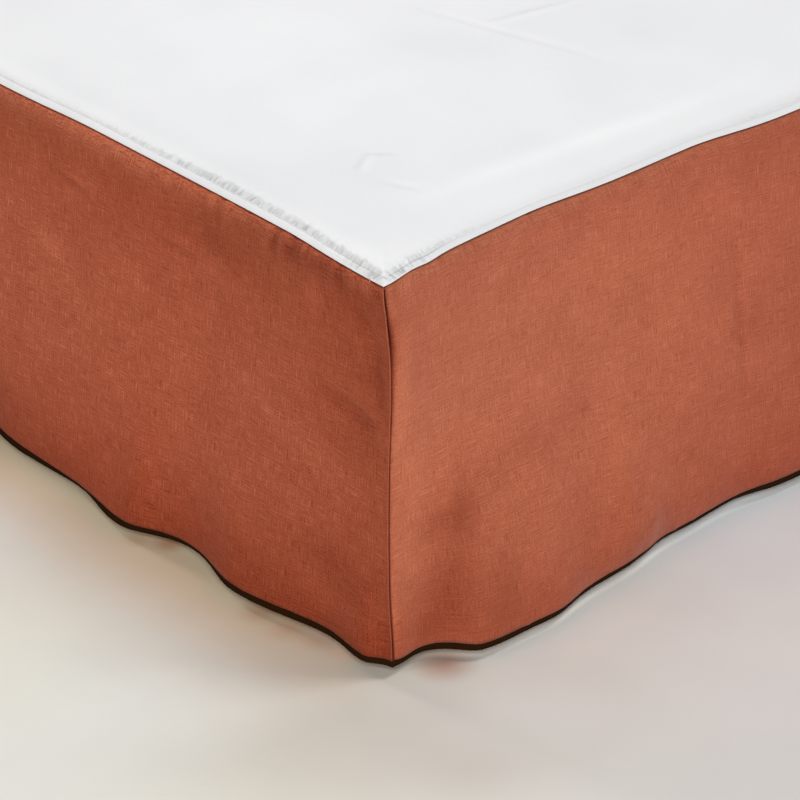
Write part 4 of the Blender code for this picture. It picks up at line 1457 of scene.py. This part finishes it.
def stitchRuns(name, runs, pitch, stitch, radius, thread, seed):
    carrier = pathMesh(name, runs)
    piece = finishNodes(carrier, stitchTree(), {
        "Pitch": pitch, "Stitch Length": stitch, "Thread Radius": radius, "Seed": seed, "Thread": thread,
    }, name)
    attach(piece, "root")
    print(name + ":", len(piece.data.polygons), "faces")


def deckStitchPath():
    # along the foot of the band, from the left panel's head end round to the right panel's
    row = deckRings.index(deck["stitchRing"])
    path = deckPoints[row] - deckNormals[row] * threads["sunk"] + deckNormals[row] * threads["deckRadius"]
    foot, left, head = deckChains[0], deckChains[1], deckChains[2]
    return np.concatenate([path[foot + left:foot:-1], path[foot::-1], path[:foot + left + head - 1:-1]])


def cornerStitchPath(at):
    # down the foot panel, just inside its seam with a side panel
    side = sides["foot"]
    near = np.array([at])
    points = []
    for z in np.linspace(threads["cornerTop"], hemZ + threads["aboveHem"], threads["pathPoints"]):
        if z > shoulderZ:
            turn = math.acos(1 - (deckTop - z) / hang["shoulderRadius"])
            points.append(side.shoulderPoint(near, np.array([turn]), arcInset(turn))[0])
        else:
            points.append(side.hangingPoint(near, z)[0])
    return np.array(points)


def endHemPath(name):
    side = sides[name]
    near = np.array([side.length - threads["endInset"]])
    levels = np.linspace(shoulderZ, hemZ + threads["aboveHem"], threads["pathPoints"])
    return np.array([side.hangingPoint(near, z)[0] for z in levels])


def raised(path, outward, rise):
    return path + np.append(np.array(outward), 0.0) * rise


stitchRuns(
    "deckTopstitching", [deckStitchPath()], threads["deckPitch"], threads["deckStitch"],
    threads["deckRadius"], cottonThread, 3,
)
footSide = sides["foot"]
seamPlaces = (threads["cornerInset"], footSide.length - threads["cornerInset"])
cornerPaths = [raised(cornerStitchPath(at), footSide.outward, threads["cornerRise"]) for at in seamPlaces]
stitchRuns(
    "cornerSeamStitching", cornerPaths,
    threads["cornerPitch"], threads["cornerStitch"], threads["cornerRadius"], linenThread, 4,
)
endPaths = [raised(endHemPath(name), sides[name].outward, threads["endRise"]) for name in ("right", "left")]
stitchRuns(
    "endHemStitching", endPaths, threads["endPitch"], threads["endStitch"],
    threads["cornerRadius"], linenThread, 6,
)


# loose thread ends in the foot seam

looseThreads = {
    "along": 0.0165,
    "radius": 0.00022,
    "points": 6,
    "arch": 0.0012,
    # which way each end stands: along the seam, outwards, up
    "ends": [
        (-0.0016, 0.0012, 0.0030), (0.0006, 0.0022, 0.0026),
        (0.0022, 0.0008, 0.0020), (-0.0004, 0.0016, -0.0014),
    ],
}


def makeLooseThreads():
    side = sides["foot"]
    at = np.array([looseThreads["along"]])
    start = side.shoulderPoint(at, side.seamTurn(at), arcInset(hang["seamTurn"]))[0]
    runs = []
    for along, out, up in looseThreads["ends"]:
        share = np.linspace(0, 1, looseThreads["points"])[:, None]
        way = np.append(along * side.along + out * side.outward, up)
        runs.append(start + share * way + share * (1 - share) * np.array([0, 0, looseThreads["arch"]]))
    carrier = pathMesh("looseThreads", runs)
    values = {"Radius": looseThreads["radius"], "Cloth": looseThread}
    return finishNodes(carrier, cordTree(), values, "looseThreads")


looseThread = threadMaterial("looseThread", threads["looseColour"])
tuft = makeLooseThreads()
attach(tuft, "root")


# upholstered base and its legs

base = {
    "cornerRadius": 0.034, "shoulderRadius": 0.033, "lowerRadius": 0.008, "cornerSteps": 10,
    "step": 0.015,              # between points along a straight side
    "rows": (5, 20, 9),         # round the lower edge, up the side, over the shoulder
    "underInset": 0.001,
    "dish": 0.0015, "pucker": 0.0005, "puckerSpacing": 0.045,
    # puckers by the lower and the upper seam: how far from the edge, how far they run
    "puckerLow": (0.01, 0.05), "puckerHigh": (0.03, 0.04), "puckerFade": 0.02,
    "pipingRadius": 0.0022, "pipingHeights": (0.338, 0.158),
    "pipingOut": 0.35,          # this share of its radius stands out from the side
    "colour": (0.560, 0.520, 0.450), "shade": (0.440, 0.400, 0.340), "roughness": 0.92, "specular": 0.25,
    "weave": (90, 1300), "contrast": (0.38, 0.62), "cloud": 8.0, "cloudShare": 0.2,
    "bump": 0.0002, "sheen": 0.15,
}
wood = {
    "light": (0.430, 0.250, 0.130), "dark": (0.270, 0.140, 0.066),
    "grain": (60, 60, 5), "grainContrast": (0.35, 0.65),
    "pores": (700, 700, 35), "poreTone": (0.62, 0.72, 1.0, 0.72),   # from, to, and the tone there
    "roughness": 0.42, "grainRoughness": (0.36, 0.52), "specular": 0.4, "bump": 0.00015,
}


def basePerimeter():
    # the rounded outline seen from above: points, outward directions and the distance round
    radius, reachX, reachY = base["cornerRadius"], baseHigh.x, baseHigh.y
    middles = [(reachX - radius, -reachY + radius), (reachX - radius, reachY - radius),
               (-reachX + radius, reachY - radius), (-reachX + radius, -reachY + radius)]
    points, directions = [], []
    for number, middle in enumerate(middles):
        angles = math.radians(-90 + 90 * number) + np.linspace(0, math.pi / 2, base["cornerSteps"] + 1)
        ways = np.stack([np.cos(angles), np.sin(angles)], axis=-1)
        corner = np.array(middle) + radius * ways
        points.append(corner)
        directions.append(ways)
        following = np.array(middles[(number + 1) % 4]) + radius * ways[-1]
        length = np.linalg.norm(following - corner[-1])
        shares = np.linspace(0, 1, round(length / base["step"]) + 1)[1:-1, None]
        points.append(corner[-1] + shares * (following - corner[-1]))
        directions.append(np.repeat(ways[-1:], len(shares), axis=0))
    points, directions = np.concatenate(points), np.concatenate(directions)
    steps = np.linalg.norm(np.roll(points, -1, axis=0) - points, axis=1)
    return points, directions, np.concatenate([[0], np.cumsum(steps)[:-1]])


def baseProfile():
    # inset and height from the middle of the underside up and over to the top
    low, high = baseLow.z, baseHigh.z
    under, over = base["lowerRadius"], base["shoulderRadius"]
    underCount, sideCount, overCount = base["rows"]
    rows = [(base["cornerRadius"] - base["underInset"], low), (0.5 * (under + base["cornerRadius"]), low)]
    for turn in np.linspace(0, math.pi / 2, underCount):
        rows.append((under * (1 - math.sin(turn)), low + under * (1 - math.cos(turn))))
    for z in np.linspace(low + under, high - over, sideCount)[1:-1]:
        share = (z - low - under) / (high - over - low - under)
        rows.append((base["dish"] * math.sin(math.pi * share), z))
    for turn in np.linspace(0, math.pi / 2, overCount):
        rows.append((over * (1 - math.cos(turn)), high - over * (1 - math.sin(turn))))
    return rows


def coverMaterial():
    material, tree, shader = newMaterial("wovenTicking", base["roughness"], base["specular"])
    cloth = clothPlace(tree)
    run, yarn = base["weave"]
    weft = stretchedNoise(tree, cloth, (run, yarn, 1))
    warp = stretchedNoise(tree, cloth, (yarn, run, 1))
    streaks = mathNode(tree, "MULTIPLY", mathNode(tree, "ADD", weft, warp), 0.5)
    cloud = mathNode(tree, "MULTIPLY", noiseNode(tree, cloth, base["cloud"], 3.0), base["cloudShare"])
    blend = mathNode(tree, "ADD", mathNode(tree, "MULTIPLY", streaks, 1 - base["cloudShare"]), cloud)
    colour = mixedColour(tree, rangeNode(tree, blend, *base["contrast"]), base["shade"], base["colour"])
    tree.links.new(colour, shader.inputs["Base Color"])
    addBump(tree, shader, streaks, base["bump"])
    shader.inputs["Sheen Weight"].default_value = base["sheen"]
    return material


def makeBaseCover(material):
    points, directions, around = basePerimeter()
    fade = base["puckerFade"]
    lowEdge, lowReach = base["puckerLow"]
    highEdge, highReach = base["puckerHigh"]
    wave = (1 - np.cos(2 * math.pi * around / base["puckerSpacing"])) / 2
    grid = []
    for inset, z in baseProfile():
        up, down = z - baseLow.z, baseHigh.z - highEdge - z
        side = ease((up - lowEdge) / fade) * ease(down / fade)
        near = ease(1 - up / lowReach) + ease(1 - down / highReach)
        ring = points - directions * (inset + base["pucker"] * side * near * wave)[:, None]
        grid.append(np.column_stack([ring, np.full(len(ring), z)]))
    grid = np.array(grid)
    count, columns = grid.shape[:2]
    index = np.arange(count * columns).reshape(count, columns)
    following = np.roll(index, -1, axis=1)
    faces = np.stack([index[:-1], following[:-1], following[1:], index[1:]], axis=-1).reshape(-1, 4)
    faces = [tuple(face) for face in faces] + [tuple(index[0, ::-1]), tuple(index[-1])]
    uvs = np.stack([np.broadcast_to(around, (count, columns)), grid[..., 2]], axis=-1).reshape(-1, 2)
    return meshPiece("baseCover", grid.reshape(-1, 3), faces, material, uvs)


def makePiping(material):
    points, directions, around = basePerimeter()
    ring = points + directions * (base["pipingRadius"] * base["pipingOut"])
    ring = np.concatenate([ring, ring[:1]])
    runs = [np.column_stack([ring, np.full(len(ring), z)]) for z in base["pipingHeights"]]
    carrier = pathMesh("basePiping", runs)
    return finishNodes(carrier, cordTree(), {"Radius": base["pipingRadius"], "Cloth": material}, "basePiping")


def woodMaterial():
    material, tree, shader = newMaterial("oiledBeech", wood["roughness"], wood["specular"])
    place = objectPlace(tree)
    grain = stretchedNoise(tree, place, wood["grain"], 5.0, 0.6)
    pores = stretchedNoise(tree, place, wood["pores"], 2.0, 0.6)
    colour = mixedColour(tree, rangeNode(tree, grain, *wood["grainContrast"]), wood["dark"], wood["light"])
    inputs = {"Color": colour, "Value": rangeNode(tree, pores, *wood["poreTone"])}
    specked = addNode(tree, "ShaderNodeHueSaturation", inputs)
    tree.links.new(specked.outputs[0], shader.inputs["Base Color"])
    tree.links.new(rangeNode(tree, grain, 0.3, 0.7, *wood["grainRoughness"]), shader.inputs["Roughness"])
    addBump(tree, shader, pores, wood["bump"], 0.6)
    return material


ticking = coverMaterial()
cover = makeBaseCover(ticking)
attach(cover, "root")
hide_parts("bed_base")
piping = makePiping(ticking)
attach(piping, "root")
legWood = woodMaterial()
for label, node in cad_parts.items():
    if label.startswith("leg_"):
        node.data.materials[0] = legWood
print("base cover:", len(cover.data.polygons), "faces; piping:", len(piping.data.polygons))


# floor, light and camera

studio = {
    "world": (1.0, 0.985, 0.97),
    "worldStrength": 0.02,
    "floorReach": 30.0,
    "floorFinish": (0.8, 0.2),          # roughness, specular
    "floorColour": (0.737, 0.709, 0.625),
    "mottle": (14.0, 0.985, 1.015),     # scale, darkest, lightest
    # the floor is warmer to the left, and a painted reflection of the linen warms it more along the foot hem
    "leftTint": (1.0, 1.0, 0.97),
    "rightTint": (0.97, 0.985, 1.08),
    "across": (0.669, 0.743),           # the way from left to right over the floor
    "acrossReach": (-0.45, 0.10),
    "hemTint": (1.21, 1.02, 0.79),
    "hemGlow": (-1.13, -1.015),         # y from which and to which the painted reflection grows
    "hemGlowEnd": (-0.970, -0.900),     # it ends under the bed
    "hemGlowSide": (0.68, 0.86),        # and towards the near corner
    "farEnd": (0.05, 0.28),             # the painted reflection and the painted band fade out along the foot, from x to x
    # painted shadows and painted light on the floor, the shadows by the hems reddened by a painted reflection
    # of the linen: x, y, reach, tint
    "floorShades": [
        (0.840, -1.090, 0.280, (0.88, 0.86, 0.85)), (0.838, -0.965, 0.038, (0.68, 0.485, 0.425)),
        (0.850, -1.026, 0.050, (1.04, 1.07, 1.09)), (0.925, -0.975, 0.100, (1.09, 1.12, 1.14)),
        (0.985, -1.055, 0.080, (0.93, 0.92, 0.91)), (0.527, -1.0096, 0.022, (0.80, 0.52, 0.44)),
        (0.504, -1.025, 0.020, (0.95, 0.80, 0.75)), (0.670, -1.025, 0.028, (0.88, 0.68, 0.62)),
        (0.706, -1.025, 0.028, (0.98, 0.78, 0.72)), (0.737, -1.020, 0.026, (1.05, 0.85, 0.80)),
        (0.768, -1.015, 0.026, (1.25, 1.00, 0.92)), (0.350, -1.040, 0.120, (1.09, 1.11, 1.13)),
        (0.380, -1.120, 0.150, (1.05, 1.10, 1.16)), (0.725, -1.317, 0.250, (0.95, 0.99, 1.07)),
        (0.850, -0.590, 0.200, (0.99, 1.06, 1.11)),
    ],
    # painted light and shadow on the floor before the foot hem, up to it: y, then red, green, blue
    "footBand": [
        (-1.30, 1.00, 1.00, 1.00), (-1.26, 1.03, 1.05, 1.06), (-1.22, 1.08, 1.12, 1.16),
        (-1.18, 1.16, 1.22, 1.28), (-1.145, 1.25, 1.32, 1.38), (-1.11, 1.16, 1.20, 1.24),
        (-1.08, 1.03, 1.06, 1.11), (-1.04, 0.86, 0.88, 0.90), (-1.015, 0.96, 0.95, 0.95),
        (-1.00, 1.00, 1.00, 1.00),
    ],
    "footBandSide": (0.70, 0.84),       # the band ends by the near corner, from x to x
    "underHem": (2.10, 2.02, 1.98),     # painted light under the right hem
    "underHemReach": (-0.014, 0.001),   # from the hem's line: full, none
    "underHemWidth": (-0.070, -0.030),  # further under the bed: none, full
    "underHemStart": (-1.012, -0.900),  # and along the hem, from y to y: none, full
    "underHemStop": (-0.440, -0.400),   # full, none
    "underHemLine": (0.030, 0.570, 30), # the hem's line is followed over this stretch, in this many points
    "underHemMiddle": 0.5,              # a ramp holds no value above 1, so the line is kept as x less this
}


def lightUnderHem(tree, x, y):
    # painted light: 1 under the right panel's hem, 0 outside it: the hem's wavy line is kept in a ramp
    side = sides["right"]
    first, last, count = studio["underHemLine"]
    line = side.hangingPoint(np.linspace(first, last, count), np.full(count, hemZ))
    share = rangeNode(tree, y, line[0, 1], line[-1, 1])
    places = (line[:, 1] - line[0, 1]) / (line[-1, 1] - line[0, 1])
    shifted = line[:, 0] - studio["underHemMiddle"]
    stops = [(float(place), *[float(value)] * 3) for place, value in zip(places, shifted)]
    hemX = addNode(tree, "ShaderNodeSeparateColor", {0: toneRamp(tree, share, stops)}).outputs[0]
    gap = mathNode(tree, "SUBTRACT", mathNode(tree, "SUBTRACT", x, studio["underHemMiddle"]), hemX)
    under = rangeNode(tree, gap, *studio["underHemReach"], 1.0, 0.0, "SMOOTHSTEP")
    narrow = rangeNode(tree, gap, *studio["underHemWidth"])
    start = rangeNode(tree, y, *studio["underHemStart"])
    stop = rangeNode(tree, y, *studio["underHemStop"], 1.0, 0.0)
    strip = mathNode(tree, "MULTIPLY", under, narrow)
    return mathNode(tree, "MULTIPLY", strip, mathNode(tree, "MULTIPLY", start, stop))


def hemWarmth(tree, x, y, nearEnd):
    # 1 along the foot hem, where a painted reflection gives the floor the linen's colour
    glow = rangeNode(tree, y, *studio["hemGlow"], blend="SMOOTHSTEP")
    beside = rangeNode(tree, x, *studio["hemGlowSide"], 1.0, 0.0)
    inFront = rangeNode(tree, y, *studio["hemGlowEnd"], 1.0, 0.0)
    warmth = mathNode(tree, "MULTIPLY", mathNode(tree, "MULTIPLY", glow, beside), inFront)
    return mathNode(tree, "MULTIPLY", warmth, nearEnd)


def floorColour(tree, place):
    x, y = addNode(tree, "ShaderNodeSeparateXYZ", {0: place}).outputs[:2]
    acrossX, acrossY = studio["across"]
    across = mathNode(tree, "MULTIPLY_ADD", x, acrossX, mathNode(tree, "MULTIPLY", y, acrossY))
    sideways = rangeNode(tree, across, *studio["acrossReach"])
    nearEnd = rangeNode(tree, x, *studio["farEnd"])
    tint = mixedColour(tree, sideways, studio["leftTint"], studio["rightTint"])
    # painted reflection of the linen along the foot hem
    tint = mixedColour(tree, hemWarmth(tree, x, y, nearEnd), tint, studio["hemTint"])
    colour = multiplied(tree, studio["floorColour"], tint)
    # painted shadows, reflections and light in soft places
    for shadeX, shadeY, reach, shadeTint in studio["floorShades"]:
        away = addNode(tree, "ShaderNodeVectorMath", {0: place, 1: (shadeX, shadeY, 0)}, operation="DISTANCE")
        near = rangeNode(tree, away.outputs["Value"], 0.0, reach, 1.0, 0.0, "SMOOTHSTEP")
        colour = multiplied(tree, colour, shadeTint, near)
    # painted light and shadow before the foot hem
    first, last = studio["footBand"][0][0], studio["footBand"][-1][0]
    stops = [((stop - first) / (last - first), *tones) for stop, *tones in studio["footBand"]]
    band = toneRamp(tree, rangeNode(tree, y, first, last), stops)
    onFoot = mathNode(tree, "MULTIPLY", rangeNode(tree, x, *studio["footBandSide"], 1.0, 0.0), nearEnd)
    colour = mixedColour(tree, onFoot, colour, multiplied(tree, colour, band))
    # painted light under the right hem
    return multiplied(tree, colour, studio["underHem"], lightUnderHem(tree, x, y))


def makeFloor():
    material, tree, shader = newMaterial("paleFloor", *studio["floorFinish"])
    place = objectPlace(tree)
    scale, darkest, lightest = studio["mottle"]
    tone = rangeNode(tree, noiseNode(tree, place, scale, 4.0), 0.3, 0.7, darkest, lightest)
    colour = addNode(tree, "ShaderNodeHueSaturation", {"Color": floorColour(tree, place), "Value": tone})
    tree.links.new(colour.outputs[0], shader.inputs["Base Color"])
    mesh = bpy.data.meshes.new("studioFloor")
    reach = studio["floorReach"]
    corners = [(-reach, -reach, 0), (reach, -reach, 0), (reach, reach, 0), (-reach, reach, 0)]
    mesh.from_pydata(corners, [], [(0, 1, 2, 3)])
    mesh.materials.append(material)
    floor = newObject("studioFloor", mesh)


def makeLight(name, place, target, size, power, colour):
    light = bpy.data.lights.new(name, "AREA")
    light.shape = "RECTANGLE"
    light.size, light.size_y = size
    light.energy = power
    light.color = colour
    lamp = newObject(name, light)
    lamp.location = place
    lamp.rotation_mode = "QUATERNION"
    lamp.rotation_quaternion = (Vector(target) - Vector(place)).to_track_quat("-Z", "Y")
    lamp.visible_camera = False


def makeWorld():
    world = bpy.data.worlds.new("studioWorld")
    world.use_nodes = True
    background = world.node_tree.nodes["Background"]
    background.inputs[0].default_value = (*studio["world"], 1)
    background.inputs[1].default_value = studio["worldStrength"]
    bpy.context.scene.world = world


# name, where it stands, what it faces, its size, watts and colour
lamps = [
    ("footWindow", (0.3, -5.5, 2.4), (0.5, -1.0, 0.2), (2.5, 2.5), 42.1, (1.000, 0.994, 0.984)),
    ("front", (4.2, -4.2, 3.2), (0.8, -1.0, 0.2), (2.5, 2.5), 197.7, (1.000, 0.999, 0.997)),
    ("leftWindow", (-5.0, -0.5, 3.2), (0.5, -1.0, 0.2), (2.5, 2.5), 208.2, (1.000, 0.999, 0.996)),
    ("overBed", (2.6, 1.8, 5.2), (0.8, -0.5, 0.2), (1.8, 1.8), 129.1, (0.990, 0.992, 1.000)),
    ("overHead", (-1.5, 2.2, 5.2), (0.5, -0.5, 0.2), (1.8, 1.8), 49.6, (0.986, 0.988, 1.000)),
    ("rightLow", (5.0, -0.6, 0.9), (0.8, -0.6, 0.2), (1.6, 1.2), 24.1, (0.993, 0.993, 1.000)),
]

camera = {
    "azimuth": math.radians(48.0307),
    "elevation": math.radians(29.4230),
    "lens": 272.25,
    "sensor": 36,
    "farClip": 100,
    "place": (4.07756, -3.92911, 2.73491),
}


def makeCamera():
    data = bpy.data.cameras.new("camera")
    data.lens = camera["lens"]
    data.sensor_width = camera["sensor"]
    data.clip_end = camera["farClip"]
    view = newObject("camera", data)
    turn, lift = camera["azimuth"], camera["elevation"]
    back = Vector((math.sin(turn) * math.cos(lift), -math.cos(turn) * math.cos(lift), math.sin(lift)))
    view.location = camera["place"]
    view.rotation_mode = "QUATERNION"
    view.rotation_quaternion = (-back).to_track_quat("-Z", "Y")
    bpy.context.scene.camera = view


makeFloor()
makeWorld()
for lamp in lamps:
    makeLight(*lamp)
makeCamera()
bpy.context.scene.view_settings.view_transform = "Standard"
print("studio set")
